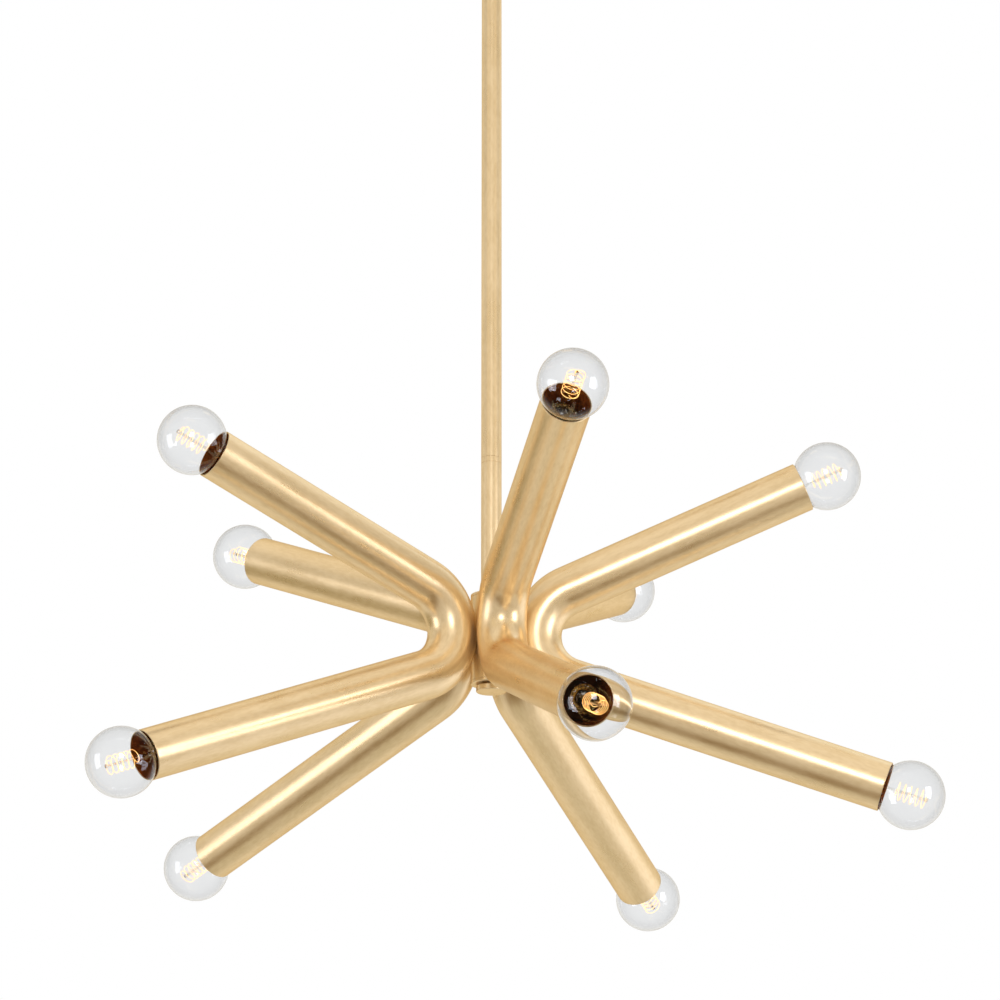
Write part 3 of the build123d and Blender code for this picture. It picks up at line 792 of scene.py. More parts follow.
def turn_faces_out(mesh: bpy.types.Mesh) -> None:
    """Makes a closed mesh's faces point outwards.

    Args:
        mesh: The mesh.
    """
    shape = bmesh.new()
    shape.from_mesh(mesh)
    bmesh.ops.recalc_face_normals(shape, faces=shape.faces)
    if shape.calc_volume(signed=True) < 0.0:
        bmesh.ops.reverse_faces(shape, faces=shape.faces)
    shape.to_mesh(mesh)
    shape.free()


def line_curve(name: str, points: Sequence[Vector]) -> bpy.types.Curve:
    """Makes a curve of straight runs.

    Args:
        name: The curve's name.
        points: Its points in order.

    Returns:
        The curve's data.
    """
    curve = bpy.data.curves.new(name, "CURVE")
    curve.dimensions = "3D"
    spline = curve.splines.new("POLY")
    spline.points.add(len(points) - 1)
    for spot, place in zip(spline.points, points):
        spot.co = (*place, 1.0)
    return curve


class TurningTree(TreeMaker):
    """Turns an outline on a straight or bent axis, with a screw thread where one is asked for."""

    def __init__(self) -> None:
        """Builds the tree."""
        super().__init__(
            "turned_on_axis",
            {
                "Axis": "NodeSocketObject",
                "Axis Start": "NodeSocketFloat",
                "Segments": "NodeSocketInt",
                "Thread Depth": "NodeSocketFloat",
                "Thread Pitch": "NodeSocketFloat",
                "Thread Low": "NodeSocketFloat",
                "Thread High": "NodeSocketFloat",
                "Finish": "NodeSocketMaterial",
            },
        )
        bench, given = self.bench, self.given
        outline = given["Geometry"]
        rows = bench.add("GeometryNodeAttributeDomainSize", {0: outline}).outputs["Point Count"]
        columns = bench.whole("ADD", given["Segments"], 1)
        grid = bench.add("GeometryNodeMeshGrid", {"Vertices X": rows, "Vertices Y": columns}).outputs["Mesh"]
        index = bench.add("GeometryNodeInputIndex").outputs[0]
        row = bench.whole("DIVIDE_FLOOR", index, columns)
        column = bench.whole("SUBTRACT", index, bench.whole("MULTIPLY", row, columns))
        place = bench.add("GeometryNodeInputPosition").outputs[0]
        feeds = {"Geometry": outline, "Value": place, "Index": row}
        picked = bench.add("GeometryNodeSampleIndex", feeds, data_type="FLOAT_VECTOR")
        parts = bench.add("ShaderNodeSeparateXYZ", {0: picked.outputs[0]}).outputs
        angle = bench.math("MULTIPLY", bench.math("DIVIDE", column, given["Segments"]), TURN)
        height = parts["Z"]
        radius = self._threaded(parts["X"], height, angle)
        along = bench.math("SUBTRACT", height, given["Axis Start"])
        axis = bench.add("GeometryNodeObjectInfo", {"Object": given["Axis"]}).outputs["Geometry"]
        spot = bench.add("GeometryNodeSampleCurve", {"Curves": axis, "Length": along}, mode="LENGTH").outputs
        side = bench.add(
            "ShaderNodeVectorMath", {0: spot["Tangent"], 1: spot["Normal"]}, operation="CROSS_PRODUCT"
        ).outputs[0]
        across = bench.math("MULTIPLY", radius, bench.math("COSINE", angle))
        over = bench.math("MULTIPLY", radius, bench.math("SINE", angle))
        reach = bench.summed(bench.scaled(spot["Normal"], across), bench.scaled(side, over))
        skin = bench.add("ShaderNodeCombineXYZ", {0: across, 1: over, 2: height}).outputs[0]
        marked = bench.add(
            "GeometryNodeStoreNamedAttribute",
            {"Geometry": grid, "Name": SKIN, "Value": skin},
            data_type="FLOAT_VECTOR",
        ).outputs[0]
        feeds = {"Geometry": marked, "Position": bench.summed(spot["Position"], reach)}
        moved = bench.add("GeometryNodeSetPosition", feeds).outputs[0]
        welded = bench.add("GeometryNodeMergeByDistance", {"Geometry": moved, "Distance": WELD}).outputs[0]
        self.close(welded)

    def _threaded(
        self, radius: bpy.types.NodeSocket, height: bpy.types.NodeSocket, angle: bpy.types.NodeSocket
    ) -> bpy.types.NodeSocket:
        """Adds the thread's winding ridge to a radius.

        Args:
            radius: The outline's radius.
            height: The outline's height.
            angle: The place round the axis.

        Returns:
            The radius with the thread.
        """
        bench, given = self.bench, self.given
        wound = bench.math("MULTIPLY", bench.math("DIVIDE", height, given["Thread Pitch"]), TURN)
        ridge = bench.math("MULTIPLY", bench.math("SINE", bench.math("SUBTRACT", wound, angle)), 0.5)
        inside = bench.math(
            "MULTIPLY",
            bench.math("GREATER_THAN", height, given["Thread Low"]),
            bench.math("LESS_THAN", height, given["Thread High"]),
        )
        depth = bench.math("MULTIPLY", given["Thread Depth"], inside)
        return bench.math("ADD", radius, bench.math("MULTIPLY", ridge, depth))

    def turned(
        self,
        name: str,
        outline: Sequence[Point],
        axis: Axis,
        finish: bpy.types.Material,
        segments: int,
        thread: Thread = Thread(),
    ) -> bpy.types.Mesh:
        """Turns one piece.

        Args:
            name: The piece's name.
            outline: Its points as radius and height.
            axis: The line that it is turned on.
            finish: Its material.
            segments: Parts round the axis.
            thread: Its screw thread, if it has one.

        Returns:
            The piece's mesh, in place.
        """
        host = bpy.data.meshes.new(name + "_outline")
        runs = [(i, i + 1) for i in range(len(outline) - 1)]
        host.from_pydata([(radius, 0.0, height) for radius, height in outline], runs, [])
        line = bpy.data.objects.new(name + "_axis", line_curve(name + "_axis", axis.points))
        bpy.context.scene.collection.objects.link(line)
        values = {
            "Axis": line,
            "Axis Start": axis.start,
            "Segments": segments,
            "Thread Depth": thread.depth,
            "Thread Pitch": thread.pitch,
            "Thread Low": thread.low,
            "Thread High": thread.high,
            "Finish": finish,
        }
        mesh = self.make(name, host, values)
        bpy.data.objects.remove(line)
        turn_faces_out(mesh)
        return mesh


class WireTree(TreeMaker):
    """Draws a round wire along a curve."""

    def __init__(self) -> None:
        """Builds the tree."""
        super().__init__(
            "round_wire",
            {"Radius": "NodeSocketFloat", "Sides": "NodeSocketInt", "Finish": "NodeSocketMaterial"},
        )
        feeds = {"Resolution": self.given["Sides"], "Radius": self.given["Radius"]}
        ring = self.bench.add("GeometryNodeCurvePrimitiveCircle", feeds).outputs["Curve"]
        wire = self.bench.add(
            "GeometryNodeCurveToMesh",
            {"Curve": self.given["Geometry"], "Profile Curve": ring, "Fill Caps": True},
        ).outputs[0]
        self.close(wire)

    def drawn(
        self, name: str, points: Sequence[Vector], radius: float, finish: bpy.types.Material, sides: int
    ) -> bpy.types.Mesh:
        """Draws one wire.

        Args:
            name: The wire's name.
            points: The points that it runs through.
            radius: Its radius.
            finish: Its material.
            sides: Parts round it.

        Returns:
            The wire's mesh.
        """
        values = {"Radius": radius, "Sides": sides, "Finish": finish}
        mesh = self.make(name, line_curve(name + "_path", points), values)
        turn_faces_out(mesh)
        return mesh


class SpokeTree(TreeMaker):
    """Sets support spokes on a rod, evenly up its length, each turned on from the last."""

    def __init__(self) -> None:
        """Builds the tree."""
        super().__init__(
            "support_spokes",
            {
                "Count": "NodeSocketInt",
                "First Height": "NodeSocketFloat",
                "Spacing": "NodeSocketFloat",
                "Turn": "NodeSocketFloat",
                "Inner Radius": "NodeSocketFloat",
                "Outer Radius": "NodeSocketFloat",
                "Wire Radius": "NodeSocketFloat",
                "Finish": "NodeSocketMaterial",
            },
        )
        bench, given = self.bench, self.given
        first = bench.add("ShaderNodeCombineXYZ", {2: given["First Height"]}).outputs[0]
        step = bench.add("ShaderNodeCombineXYZ", {2: given["Spacing"]}).outputs[0]
        spots = bench.add(
            "GeometryNodeMeshLine", {"Count": given["Count"], "Start Location": first, "Offset": step}
        ).outputs[0]
        root = bench.add("ShaderNodeCombineXYZ", {0: given["Inner Radius"]}).outputs[0]
        tip = bench.add("ShaderNodeCombineXYZ", {0: given["Outer Radius"]}).outputs[0]
        line = bench.add("GeometryNodeCurvePrimitiveLine", {"Start": root, "End": tip}).outputs[0]
        feeds = {"Resolution": SPOKE_SIDES, "Radius": given["Wire Radius"]}
        ring = bench.add("GeometryNodeCurvePrimitiveCircle", feeds).outputs["Curve"]
        spoke = bench.add(
            "GeometryNodeCurveToMesh", {"Curve": line, "Profile Curve": ring, "Fill Caps": True}
        ).outputs[0]
        index = bench.add("GeometryNodeInputIndex").outputs[0]
        spin = bench.add("ShaderNodeCombineXYZ", {2: bench.math("MULTIPLY", index, given["Turn"])}).outputs[0]
        placed = bench.add(
            "GeometryNodeInstanceOnPoints", {"Points": spots, "Instance": spoke, "Rotation": spin}
        ).outputs[0]
        self.close(placed)


class RepeatTree(TreeMaker):
    """Sets one shape on every point of a mesh, its Z along the point's own way out."""

    def __init__(self) -> None:
        """Builds the tree."""
        super().__init__("repeated_on_seats", {"Shape": "NodeSocketObject", "Finish": "NodeSocketMaterial"})
        shape = self.bench.add("GeometryNodeObjectInfo", {"Object": self.given["Shape"]}).outputs["Geometry"]
        way = self.bench.add("GeometryNodeInputNamedAttribute", {"Name": WAY_OUT}, data_type="FLOAT_VECTOR")
        feeds = {"Vector": way.outputs[0]}
        turn = self.bench.add("FunctionNodeAlignRotationToVector", feeds, axis="Z").outputs[0]
        feeds = {"Points": self.given["Geometry"], "Instance": shape, "Rotation": turn}
        placed = self.bench.add("GeometryNodeInstanceOnPoints", feeds).outputs[0]
        self.close(placed)

    def repeated(
        self, name: str, shape: bpy.types.Mesh, seats: Sequence[LampSeat], finish: bpy.types.Material
    ) -> bpy.types.Mesh:
        """Repeats a shape on the lamps' seats.

        Args:
            name: The new mesh's name.
            shape: The shape, in the lamp's own frame.
            seats: The seats.
            finish: The material.

        Returns:
            All the copies as one mesh, in place.
        """
        points = bpy.data.meshes.new(name + "_points")
        points.from_pydata([seat.centre for seat in seats], [], [])
        ways = points.attributes.new(WAY_OUT, "FLOAT_VECTOR", "POINT")
        ways.data.foreach_set("vector", [part for seat in seats for part in seat.out])
        pattern = bpy.data.objects.new(name + "_pattern", shape)
        bpy.context.scene.collection.objects.link(pattern)
        mesh = self.make(name, points, {"Shape": pattern, "Finish": finish})
        bpy.data.objects.remove(pattern)
        return mesh


@dataclass
class Shop:
    """The trees and finishes that every sub-assembly works with."""

    turning: TurningTree
    wire: WireTree
    spokes: SpokeTree
    repeat: RepeatTree
    finishes: dict[str, bpy.types.Material]

    @classmethod
    def opened(cls) -> Shop:
        """Sets up a shop.

        Returns:
            The shop, with its trees and finishes ready.
        """
        skins = (TUBE_GOLD, PLAIN_GOLD, MOUTH_DARK_INSIDE)
        fittings = (ZINC, NYLON, EARTH_GREEN, JACKET, INSULATOR, BRASS, NICKEL, SOLDER, DISC_PAINTED_SHADE)
        lamps = (GLOBE_GLASS, MOUNT_GLASS, FILAMENT_GLOW, SUPPORT_PAINTED_GLOW)
        made = {finish.name: finish.material() for finish in skins + fittings + lamps}
        return cls(TurningTree(), WireTree(), SpokeTree(), RepeatTree(), made)

    def finish(self, finish: MottledFinish | ClearGlass | HotWire) -> bpy.types.Material:
        """Returns a finish's material."""
        return self.finishes[finish.name]


def set_piece(mesh: bpy.types.Mesh, body: str, nodes: Sequence[str] = ()) -> bpy.types.Object:
    """Puts a finished mesh in the scene as a piece of the chandelier.

    Args:
        mesh: The mesh, in place.
        body: The body that it moves with.
        nodes: The nodes that it stands for.

    Returns:
        The piece.
    """
    piece = bpy.data.objects.new(mesh.name, mesh)
    bpy.context.scene.collection.objects.link(piece)
    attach(piece, body)
    if nodes:
        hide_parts(*nodes)
    LOG.info("%s: %d faces on %s", piece.name, len(mesh.polygons), body)
    return piece


def skin_places(mesh: bpy.types.Mesh) -> np.ndarray:
    """Finds where a turned mesh's faces lie on its straightened skin.

    Args:
        mesh: The mesh.

    Returns:
        Each face's middle as x, y and height.
    """
    spots = np.zeros(len(mesh.vertices) * 3, np.float32)
    mesh.attributes[SKIN].data.foreach_get("vector", spots)
    spots = spots.reshape(-1, 3)
    return np.array([spots[list(face.vertices)].mean(axis=0) for face in mesh.polygons])


def paint(mesh: bpy.types.Mesh, finish: bpy.types.Material, chosen: np.ndarray) -> None:
    """Gives some faces of a mesh another finish.

    Args:
        mesh: The mesh.
        finish: The other finish.
        chosen: True for each face that takes it.
    """
    places = np.zeros(len(mesh.polygons), np.int32)
    mesh.polygons.foreach_get("material_index", places)
    mesh.materials.append(finish)
    places[chosen] = len(mesh.materials) - 1
    mesh.polygons.foreach_set("material_index", places)


# Reading the frame


@dataclass(frozen=True)
class LampSeat:
    """Where one lamp sits: its globe's centre and the way out of its tube."""

    arm: ArmName
    end: ArmEnd
    centre: Vector
    out: Vector
    side: Vector

    @property
    def label(self) -> str:
        """The arm and end as they stand in names."""
        return f"{self.arm.value}_{self.end.value}"

    @property
    def place(self) -> Matrix:
        """Finds where the lamp's own frame stands.

        Returns:
            The turn and move from that frame to the chandelier's.
        """
        over = self.out.cross(self.side)
        turn = Matrix((self.side, over, self.out)).transposed()
        return Matrix.Translation(self.centre) @ turn.to_4x4()


def node_points(node: bpy.types.Object) -> np.ndarray:
    """Reads a node's vertices.

    Args:
        node: The node's object.

    Returns:
        One row for each vertex.
    """
    spots = np.zeros(len(node.data.vertices) * 3, np.float32)
    node.data.vertices.foreach_get("co", spots)
    return spots.reshape(-1, 3).astype(float)


def lamp_seats(frame: dict) -> list[LampSeat]:
    """Finds every lamp's place from its joint and its globe.

    Args:
        frame: The loaded frame.

    Returns:
        The ten seats.
    """
    ways = {joint["name"]: Vector(joint["axis"]).normalized() for joint in frame["joints"]}
    seats = []
    for arm in ArmName:
        outs = {end: ways[f"lamp_{arm.value}_{end.value}_out"] for end in ArmEnd}
        side = outs[ArmEnd.UPPER].cross(outs[ArmEnd.LOWER]).normalized()
        for end, out in outs.items():
            spots = node_points(frame["nodes"][f"globe_{arm.value}_{end.value}"])
            over = out.cross(side)
            spans = [spots @ np.array(way) for way in (side, over, out)]
            across, above = ((span.max() + span.min()) / 2.0 for span in spans[:2])
            globe_radius = (spans[0].max() - spans[0].min()) / 2.0
            centre = side * across + over * above + out * (spans[2].max() - globe_radius)
            seats.append(LampSeat(arm, end, centre, out, side))
    return seats


# Sub-assemblies


@dataclass
class ArmTubes:
    """The five bent tubes, open at both mouths."""

    radius: float = 19.05 * MM
    wall: float = 1.2 * MM
    bend: float = 39.0 * MM
    lip: float = 0.45 * MM
    mouth_drop: float = 20.06 * MM
    bend_step: float = 2.2 * MM
    lip_steps: int = 4
    segments: int = 112

    def build(self, shop: Shop, seats: Sequence[LampSeat]) -> None:
        """Makes every tube.

        Args:
            shop: The trees and finishes.
            seats: The lamps' places, which give the mouths.
        """
        for arm in ArmName:
            ends = {seat.end: seat for seat in seats if seat.arm is arm}
            axis, length, bend_span = self._axis(ends[ArmEnd.UPPER], ends[ArmEnd.LOWER])
            outline = self._outline(length, bend_span)
            name = f"bent_tube_{arm.value}"
            mesh = shop.turning.turned(name, outline, axis, shop.finish(TUBE_GOLD), self.segments)
            spots = skin_places(mesh)
            # Faces inside the tube wall take the dark red-brown inside finish in place of gold.
            inner = np.hypot(spots[:, 0], spots[:, 1]) < self.radius - self.wall + self.lip / 4.0
            paint(mesh, shop.finish(MOUTH_DARK_INSIDE), inner)
            set_piece(mesh, "chandelier", [f"arm_tube_{arm.value}"])

    def _axis(self, upper: LampSeat, lower: LampSeat) -> tuple[Axis, float, Span]:
        """Draws a tube's centre line from mouth to mouth.

        Args:
            upper: The seat at its upper mouth.
            lower: The seat at its lower mouth.

        Returns:
            The axis, its length, and where its bend starts and ends.
        """
        top = upper.centre - upper.out * self.mouth_drop
        foot = lower.centre - lower.out * self.mouth_drop
        cosine = upper.out.dot(lower.out)
        gap = top - foot
        along = (gap.dot(upper.out) - cosine * gap.dot(lower.out)) / (1.0 - cosine * cosine)
        corner = top - upper.out * along
        half = math.acos(cosine) / 2.0
        reach = self.bend / math.tan(half)
        middle = (upper.out + lower.out).normalized()
        centre = corner + middle * self.bend / math.sin(half)
        start = corner + upper.out * reach - centre
        swing = math.pi - 2.0 * half
        spin = start.cross(-upper.out).normalized()
        arc = self.bend * swing
        steps = round(arc / self.bend_step)
        turns = [Matrix.Rotation(swing * k / steps, 3, spin) for k in range(steps + 1)]
        points = (top, *(centre + turn @ start for turn in turns), foot)
        length = sum((b - a).length for a, b in zip(points, points[1:]))
        first = (points[1] - top).length
        return Axis(points), length, (first, length - (foot - points[-2]).length)

    def _outline(self, length: float, bend_span: Span) -> list[Point]:
        """Draws a tube's wall, outside and inside, with rounded lips.

        Args:
            length: The tube's length along its middle.
            bend_span: Where its bend starts and ends.

        Returns:
            The closed outline.
        """
        steps = round((bend_span[1] - bend_span[0]) / self.bend_step)
        stations = [bend_span[0] + (bend_span[1] - bend_span[0]) * k / steps for k in range(steps + 1)]
        inside, outside = self.radius - self.wall, self.radius
        corners = [Corner(outside, 0.0, self.lip)]
        corners += [Corner(outside, place) for place in stations]
        corners += [Corner(outside, length, self.lip), Corner(inside, length, self.lip)]
        corners += [Corner(inside, place) for place in reversed(stations)]
        corners += [Corner(inside, 0.0, self.lip)]
        return rounded_outline(corners, steps=self.lip_steps)


@dataclass
class Lamps:
    """Ten clear globe lamps: glass, screw cap, mount, and a spiral filament on its supports."""

    globe: float = 26.2 * MM
    glass: float = 0.5 * MM
    neck: float = 5.0 * MM
    blend: float = 9.0 * MM
    blend_centre: Point = (14.0 * MM, -32.296 * MM)
    glass_low: float = -36.196 * MM
    cap_top: float = -32.196 * MM
    cap_low: float = -47.196 * MM
    tip_top: float = -49.296 * MM
    lamp_low: float = -50.496 * MM
    cap_root: float = 5.5 * MM
    cap_play: float = 0.02 * MM
    cap_floor: float = 0.1 * MM
    cap_roll: float = 0.12 * MM
    cap_lap: float = 0.25 * MM
    cap_rows: int = 44
    cap_foot: tuple[float, float, float] = (4.4 * MM, 0.3 * MM, 0.2 * MM)
    tip: tuple[float, float, float] = (2.8 * MM, 2.6 * MM, 1.6 * MM)
    tip_step: float = 0.4 * MM
    thread: Thread = Thread(0.45 * MM, 2.5 * MM, -45.196 * MM, -35.196 * MM)
    coil: float = 6.6 * MM
    coil_height: float = 23.0 * MM
    coil_turns: int = 5
    steps_per_turn: int = 40
    lead_steps: int = 14
    wire: float = 0.14 * MM
    wire_sides: int = 10
    support: float = 0.11 * MM
    mount: float = 1.0 * MM
    mount_top: float = 13.5 * MM
    mount_head: float = 1.5 * MM
    mount_waist: float = 2.2 * MM
    mount_lift: float = 0.4 * MM
    mount_play: float = 0.1 * MM
    mount_rises: tuple[float, float, float] = (2.0 * MM, 5.0 * MM, 12.0 * MM)
    mount_drops: Span = (3.0 * MM, 2.0 * MM)
    curl_share: float = 0.6
    root_share: float = 0.5
    globe_steps: int = 84
    neck_steps: int = 10
    rim_steps: int = 6
    globe_segments: int = 192
    cap_segments: int = 72
    mount_segments: int = 32

    def build(self, shop: Shop, seats: Sequence[LampSeat]) -> None:
        """Makes one lamp in its own frame and sets a copy in every seat.

        Args:
            shop: The trees and finishes.
            seats: The lamps' places.
        """
        masters = {
            "globe": (self._globe(shop), "clear_glass", "globe"),
            "cap": (self._cap(shop), "nickel", "cap"),
            "coil": (self._coil(shop), "filament", "filament"),
            "mount": (self._mount(shop), "clear_glass", ""),
            "supports": (self._supports(shop), "filament", ""),
        }
        for seat in seats:
            for part, (master, slot, node) in masters.items():
                mesh = master.copy()
                mesh.name = f"lamp_{part}_{seat.label}"
                mesh.transform(seat.place)
                nodes = [f"{node}_{seat.label}"] if node else []
                set_piece(mesh, f"lamp_{seat.label}", nodes)
        for master, _, _ in masters.values():
            bpy.data.meshes.remove(master)

    def _axis(self) -> Axis:
        """Returns the lamp's own straight axis."""
        return Axis.upright(self.lamp_low, self.globe)

    def _globe(self, shop: Shop) -> bpy.types.Mesh:
        """Blows the globe: a closed wall of glass that narrows into the neck.

        Args:
            shop: The trees and finishes.

        Returns:
            The globe's mesh.
        """
        swing = math.degrees(math.atan2(self.blend_centre[1], self.blend_centre[0]))
        walls = []
        for inset in (0.0, self.glass):
            wall = arc_points((0.0, 0.0), self.globe - inset, 90.0, swing, self.globe_steps)
            neck = arc_points(self.blend_centre, self.blend + inset, swing + 180.0, 180.0, self.neck_steps)
            walls.append(wall + neck[1:])
        outside, inside = walls
        edge = self.glass / 2.0
        rim = arc_points((self.neck - edge, self.glass_low + edge), edge, 0.0, -180.0, self.rim_steps)
        outline = outside + rim + inside[::-1]
        finish = shop.finish(GLOBE_GLASS)
        return shop.turning.turned("globe", outline, self._axis(), finish, self.globe_segments)

    def _cap(self, shop: Shop) -> bpy.types.Mesh:
        """Turns the screw cap, with its insulating ring and its soldered tip.

        Args:
            shop: The trees and finishes.

        Returns:
            The cap's mesh.
        """
        span = self.thread.high - self.thread.low
        heights = [self.thread.high - span * k / self.cap_rows for k in range(self.cap_rows + 1)]
        bore, floor = self.neck + self.cap_play, self.glass_low - self.cap_floor
        foot, foot_drop, foot_edge = self.cap_foot
        tip_root, tip_shoulder, tip_end = self.tip
        corners = [
            Corner(0.0, floor),
            Corner(bore, floor),
            Corner(bore, self.cap_top, self.cap_roll),
            Corner(self.cap_root, self.cap_top, self.cap_roll),
            *(Corner(self.cap_root, height) for height in heights),
            Corner(self.cap_root, self.cap_low, 0.4 * MM),
            Corner(foot, self.cap_low - foot_drop, foot_edge),
            Corner(tip_root, self.tip_top, 0.4 * MM),
            Corner(tip_shoulder, self.tip_top - self.tip_step, 0.3 * MM),
            Corner(tip_end, self.lamp_low, 0.5 * MM),
            Corner(0.0, self.lamp_low),
        ]
        outline = rounded_outline(corners, closed=False)
        finish = shop.finish(NICKEL)
        mesh = shop.turning.turned("cap", outline, self._axis(), finish, self.cap_segments, self.thread)
        faces = skin_places(mesh)[:, 2]
        insulated = (faces < self.cap_low - self.cap_lap) & (faces > self.tip_top)
        paint(mesh, shop.finish(INSULATOR), insulated)
        paint(mesh, shop.finish(SOLDER), faces <= self.tip_top)
        return mesh

    def _coil(self, shop: Shop) -> bpy.types.Mesh:
        """Winds the filament: a spiral whose two ends curl in to the mount.

        Args:
            shop: The trees and finishes.

        Returns:
            The filament's mesh.
        """
        lead = self.lead_steps
        steps = self.steps_per_turn * self.coil_turns
        points = []
        for k in range(-lead, steps + lead + 1):
            beyond = max(-k, k - steps, 0) / lead
            eased = beyond * beyond * (3.0 - 2.0 * beyond)
            reach = self.coil + (self.curl_share * self.mount - self.coil) * eased
            angle = TURN * k / self.steps_per_turn
            height = self.coil_height * (min(max(k / steps, 0.0), 1.0) - 0.5)
            points.append(Vector((reach * math.cos(angle), reach * math.sin(angle), height)))
        return shop.wire.drawn("coil", points, self.wire, shop.finish(FILAMENT_GLOW), self.wire_sides)

    def _mount(self, shop: Shop) -> bpy.types.Mesh:
        """Turns the glass mount: a flared foot in the neck and a slim rod up the middle.

        Args:
            shop: The trees and finishes.

        Returns:
            The mount's mesh.
        """
        low = self.glass_low + self.mount_lift
        inner = self.neck - self.glass - self.mount_play
        foot, waist, rod = (low + rise for rise in self.mount_rises)
        root, head = (self.mount_top - drop for drop in self.mount_drops)
        corners = [
            Corner(0.0, low),
            Corner(inner, low, 0.3 * MM),
            Corner(inner, foot, 0.8 * MM),
            Corner(self.mount_waist, waist, 2.0 * MM),
            Corner(self.mount, rod, 6.0 * MM),
            Corner(self.mount, root, 0.6 * MM),
            Corner(self.mount_head, head, 0.6 * MM),
            Corner(self.mount_head, self.mount_top, 0.9 * MM),
            Corner(0.0, self.mount_top),
        ]
        outline = rounded_outline(corners, closed=False)
        finish = shop.finish(MOUNT_GLASS)
        return shop.turning.turned("mount", outline, self._axis(), finish, self.mount_segments)

    def _supports(self, shop: Shop) -> bpy.types.Mesh:
        """Sets the thin wires that hold the spiral off its mount.

        Args:
            shop: The trees and finishes.

        Returns:
            The supports' mesh.
        """
        count = 2 * self.coil_turns + 1
        values = {
            "Count": count,
            "First Height": -self.coil_height / 2.0,
            "Spacing": self.coil_height / (count - 1),
            "Turn": math.pi,
            "Inner Radius": self.root_share * self.mount,
            "Outer Radius": self.coil,
            "Wire Radius": self.support,
            # Painted glow on the support wires.
            "Finish": shop.finish(SUPPORT_PAINTED_GLOW),
        }
        mesh = shop.spokes.make("supports", bpy.data.meshes.new("supports_host"), values)
        turn_faces_out(mesh)
        return mesh


@dataclass
class Holders:
    """The collars on the lamp holders, which show as rings through the globes."""

    top: float = -33.696 * MM
    bore: float = 6.95 * MM
    rim: float = 10.8 * MM
    step: float = 8.9 * MM
    height: float = 1.1 * MM
    rim_wall: float = 0.9 * MM
    edge: float = 0.3 * MM
    edge_steps: int = 3
    segments: int = 56

    def build(self, shop: Shop, seats: Sequence[LampSeat]) -> None:
        """Turns one stepped collar and repeats it on every holder.

        Args:
            shop: The trees and finishes.
            seats: The lamps' places.
        """
        crest, tread = self.top + self.height, self.top + self.height / 3.0
        rim_bore = self.rim - self.rim_wall
        corners = [
            Corner(self.bore, self.top),
            Corner(self.bore, crest, self.edge),
            Corner(self.step, crest, self.edge),
            Corner(self.step, tread, self.edge / 2.0),
            Corner(rim_bore, tread, self.edge / 2.0),
            Corner(rim_bore, crest, self.edge),
            Corner(self.rim, crest, self.edge),
            Corner(self.rim, self.top),
        ]
        outline = rounded_outline(corners, steps=self.edge_steps)
        axis = Axis.upright(self.top, crest)
        collar = shop.turning.turned("collar", outline, axis, shop.finish(BRASS), self.segments)
        mesh = shop.repeat.repeated("holder_collars", collar, seats, shop.finish(BRASS))
        bpy.data.meshes.remove(collar)
        set_piece(mesh, "chandelier")


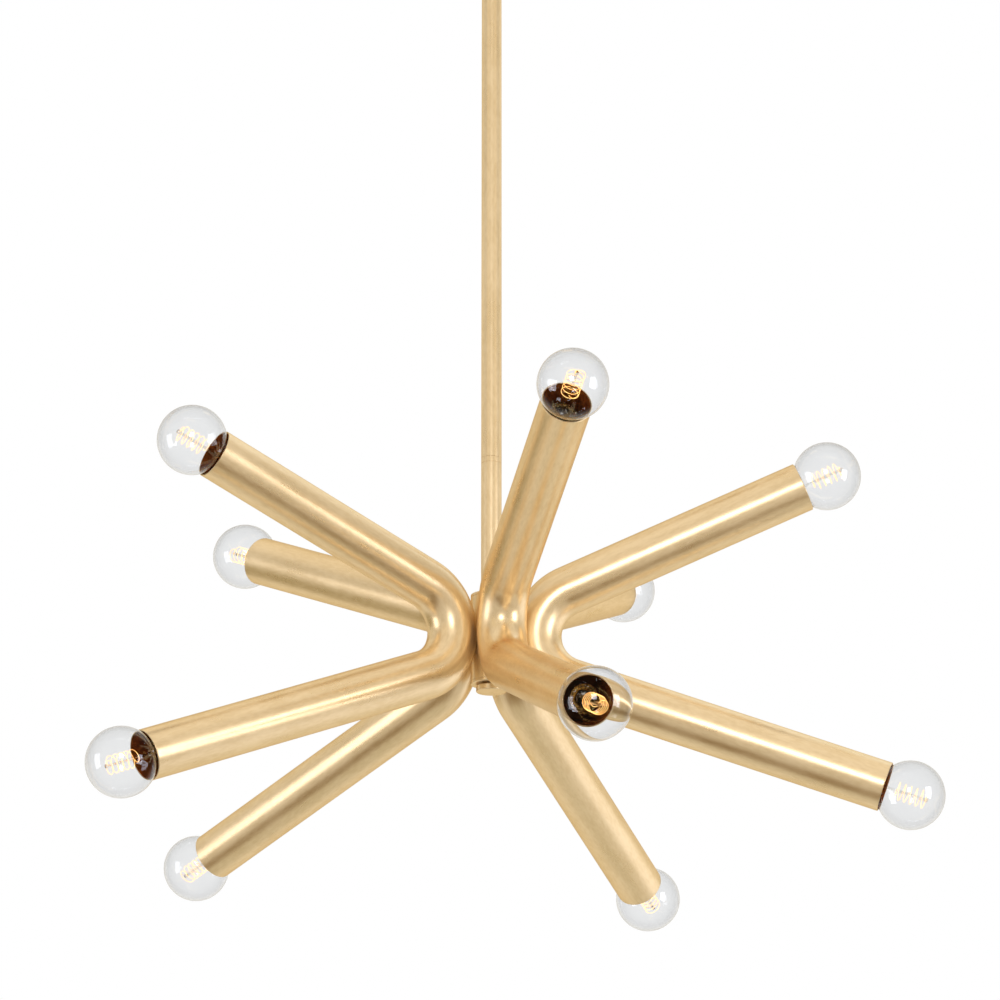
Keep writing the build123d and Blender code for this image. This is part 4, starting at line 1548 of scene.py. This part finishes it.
@dataclass
class Stem:
    """The rods, the coupling band, the post with its caps, and the finial below."""

    edge: float = 0.5 * MM
    seam: float = 0.35 * MM
    groove: float = 0.35 * MM
    crisp: float = 0.1 * MM
    bore: float = 6.0 * MM
    nipple: float = 4.8 * MM
    nipple_bore: float = 3.4 * MM
    cap_bore: float = 5.0 * MM
    cap_edge: float = 0.8 * MM
    plug: float = 14.3 * MM
    post_bore: float = 14.4 * MM
    knob_height: float = 4.7 * MM
    knob_edge: float = 0.7 * MM
    knob_neck: float = 7.0 * MM
    neck_height: float = 1.0 * MM
    segments: int = 96

    def build(self, shop: Shop) -> None:
        """Turns each piece to the size of its node.

        Args:
            shop: The trees and finishes.
        """
        self._ring(shop, "stem_rod_upper", "upper_rod", self.bore, (self.edge, self.crisp))
        self._coupling(shop)
        self._ring(shop, "stem_rod_lower", "lower_rod", self.bore, (self.groove, self.edge))
        self._ring(shop, "hub_post", "post", self.post_bore, (self.seam, self.seam))
        self._cap(shop, "hub_cap_upper", "post_top_cap", True)
        self._cap(shop, "hub_cap_lower", "post_bottom_cap", False)
        self._finial(shop)

    def _cap(self, shop: Shop, name: str, node: str, upper: bool) -> None:
        """Turns a cap of the post: a flange that shows and a plug inside.

        Args:
            shop: The trees and finishes.
            name: The piece's name.
            node: The node that it stands for.
            upper: Whether it closes the post's top.
        """
        low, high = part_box(node)
        post_low, post_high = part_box("post")
        radius = (high.x - low.x) / 2.0
        outer, seat, plug = (high.z, post_high.z, low.z) if upper else (low.z, post_low.z, high.z)
        corners = [
            Corner(self.cap_bore, outer),
            Corner(radius, outer, self.cap_edge),
            Corner(radius, seat, self.seam),
            Corner(self.plug, seat),
            Corner(self.plug, plug, self.seam),
            Corner(self.cap_bore, plug),
        ]
        self._turned(shop, name, node, rounded_outline(corners))

    def _coupling(self, shop: Shop) -> None:
        """Turns the flush band between the rods, on the nipple that runs into both.

        Args:
            shop: The trees and finishes.
        """
        low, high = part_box("rod_coupler")
        band_top, band_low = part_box("upper_rod")[0].z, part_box("lower_rod")[1].z
        radius = (high.x - low.x) / 2.0
        corners = [
            Corner(self.nipple_bore, high.z),
            Corner(self.nipple, high.z, self.seam),
            Corner(self.nipple, band_top),
            Corner(radius, band_top, self.groove),
            Corner(radius, band_low, self.crisp),
            Corner(self.nipple, band_low),
            Corner(self.nipple, low.z, self.seam),
            Corner(self.nipple_bore, low.z),
        ]
        self._turned(shop, "stem_band", "rod_coupler", rounded_outline(corners))

    def _finial(self, shop: Shop) -> None:
        """Turns the knob under the post, on its short neck.

        Args:
            shop: The trees and finishes.
        """
        low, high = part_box("finial")
        radius = (high.x - low.x) / 2.0
        shoulder = low.z + self.knob_height
        corners = [
            Corner(0.0, low.z),
            Corner(radius, low.z, self.knob_edge),
            Corner(radius, shoulder, self.knob_edge),
            Corner(self.knob_neck, shoulder, self.seam),
            Corner(self.knob_neck, shoulder + self.neck_height),
            Corner(0.0, shoulder + self.neck_height),
        ]
        self._turned(shop, "hub_knob", "finial", rounded_outline(corners, closed=False))

    def _ring(self, shop: Shop, name: str, node: str, bore: float, rounding: Span) -> None:
        """Turns a plain tube with rounded edges.

        Args:
            shop: The trees and finishes.
            name: The piece's name.
            node: The node that it stands for.
            bore: The radius of its bore.
            rounding: The rounding of its upper and lower edge.
        """
        low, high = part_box(node)
        radius = (high.x - low.x) / 2.0
        corners = [
            Corner(bore, high.z, self.edge / 2.0),
            Corner(radius, high.z, rounding[0]),
            Corner(radius, low.z, rounding[1]),
            Corner(bore, low.z, self.edge / 2.0),
        ]
        middle = Vector(((low.x + high.x) / 2.0, (low.y + high.y) / 2.0, 0.0))
        self._turned(shop, name, node, rounded_outline(corners), middle)

    def _turned(
        self, shop: Shop, name: str, node: str, outline: Sequence[Point], middle: Vector = ORIGIN
    ) -> None:
        """Turns an outline on an upright axis and sets it in a node's place.

        Args:
            shop: The trees and finishes.
            name: The piece's name.
            node: The node that it stands for.
            outline: Its points as radius and height.
            middle: A point under its axis.
        """
        low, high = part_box(node)
        axis = Axis.upright(low.z, high.z, middle)
        mesh = shop.turning.turned(name, outline, axis, shop.finish(TUBE_GOLD), self.segments)
        set_piece(mesh, "chandelier", [node])


@dataclass
class Fittings:
    """The pieces whose modelled shape is right as it is, which only take a finish."""

    finishes: tuple[tuple[MottledFinish, tuple[str, ...]], ...] = (
        (PLAIN_GOLD, ("canopy", "canopy_nuts", "swivel_ball")),
        (ZINC, ("crossbar", "canopy_studs", "stem_nipples", "nipple_nuts", "arm_nipples", "arm_nuts")),
        (NYLON, ("seat_ring",)),
        (EARTH_GREEN, ("earth_screw",)),
        (JACKET, ("stem_lead", "arm_leads")),
        (INSULATOR, ("terminal_block", "holder_bodies")),
        # Painted shade: the holder discs take the near-black painted-shade finish in place of zinc.
        (DISC_PAINTED_SHADE, ("holder_discs",)),
        (BRASS, ("holder_shells", "holder_contacts")),
    )

    def dress(self, shop: Shop, frame: dict) -> None:
        """Gives each node its finish.

        Args:
            shop: The trees and finishes.
            frame: The loaded frame.
        """
        for finish, nodes in self.finishes:
            for node in nodes:
                mesh = frame["nodes"][node].data
                mesh.materials.clear()
                mesh.materials.append(shop.finish(finish))
                LOG.info("%s: %s", node, finish.name)


def main() -> None:
    """Builds the chandelier's looks in order."""
    logging.basicConfig(level=logging.INFO, format="%(name)s: %(message)s")
    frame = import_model()
    Studio().build()
    shop = Shop.opened()
    seats = lamp_seats(frame)
    Fittings().dress(shop, frame)
    ArmTubes().build(shop, seats)
    Holders().build(shop, seats)
    Lamps().build(shop, seats)
    Stem().build(shop)


if __name__ == "__main__":
    main()
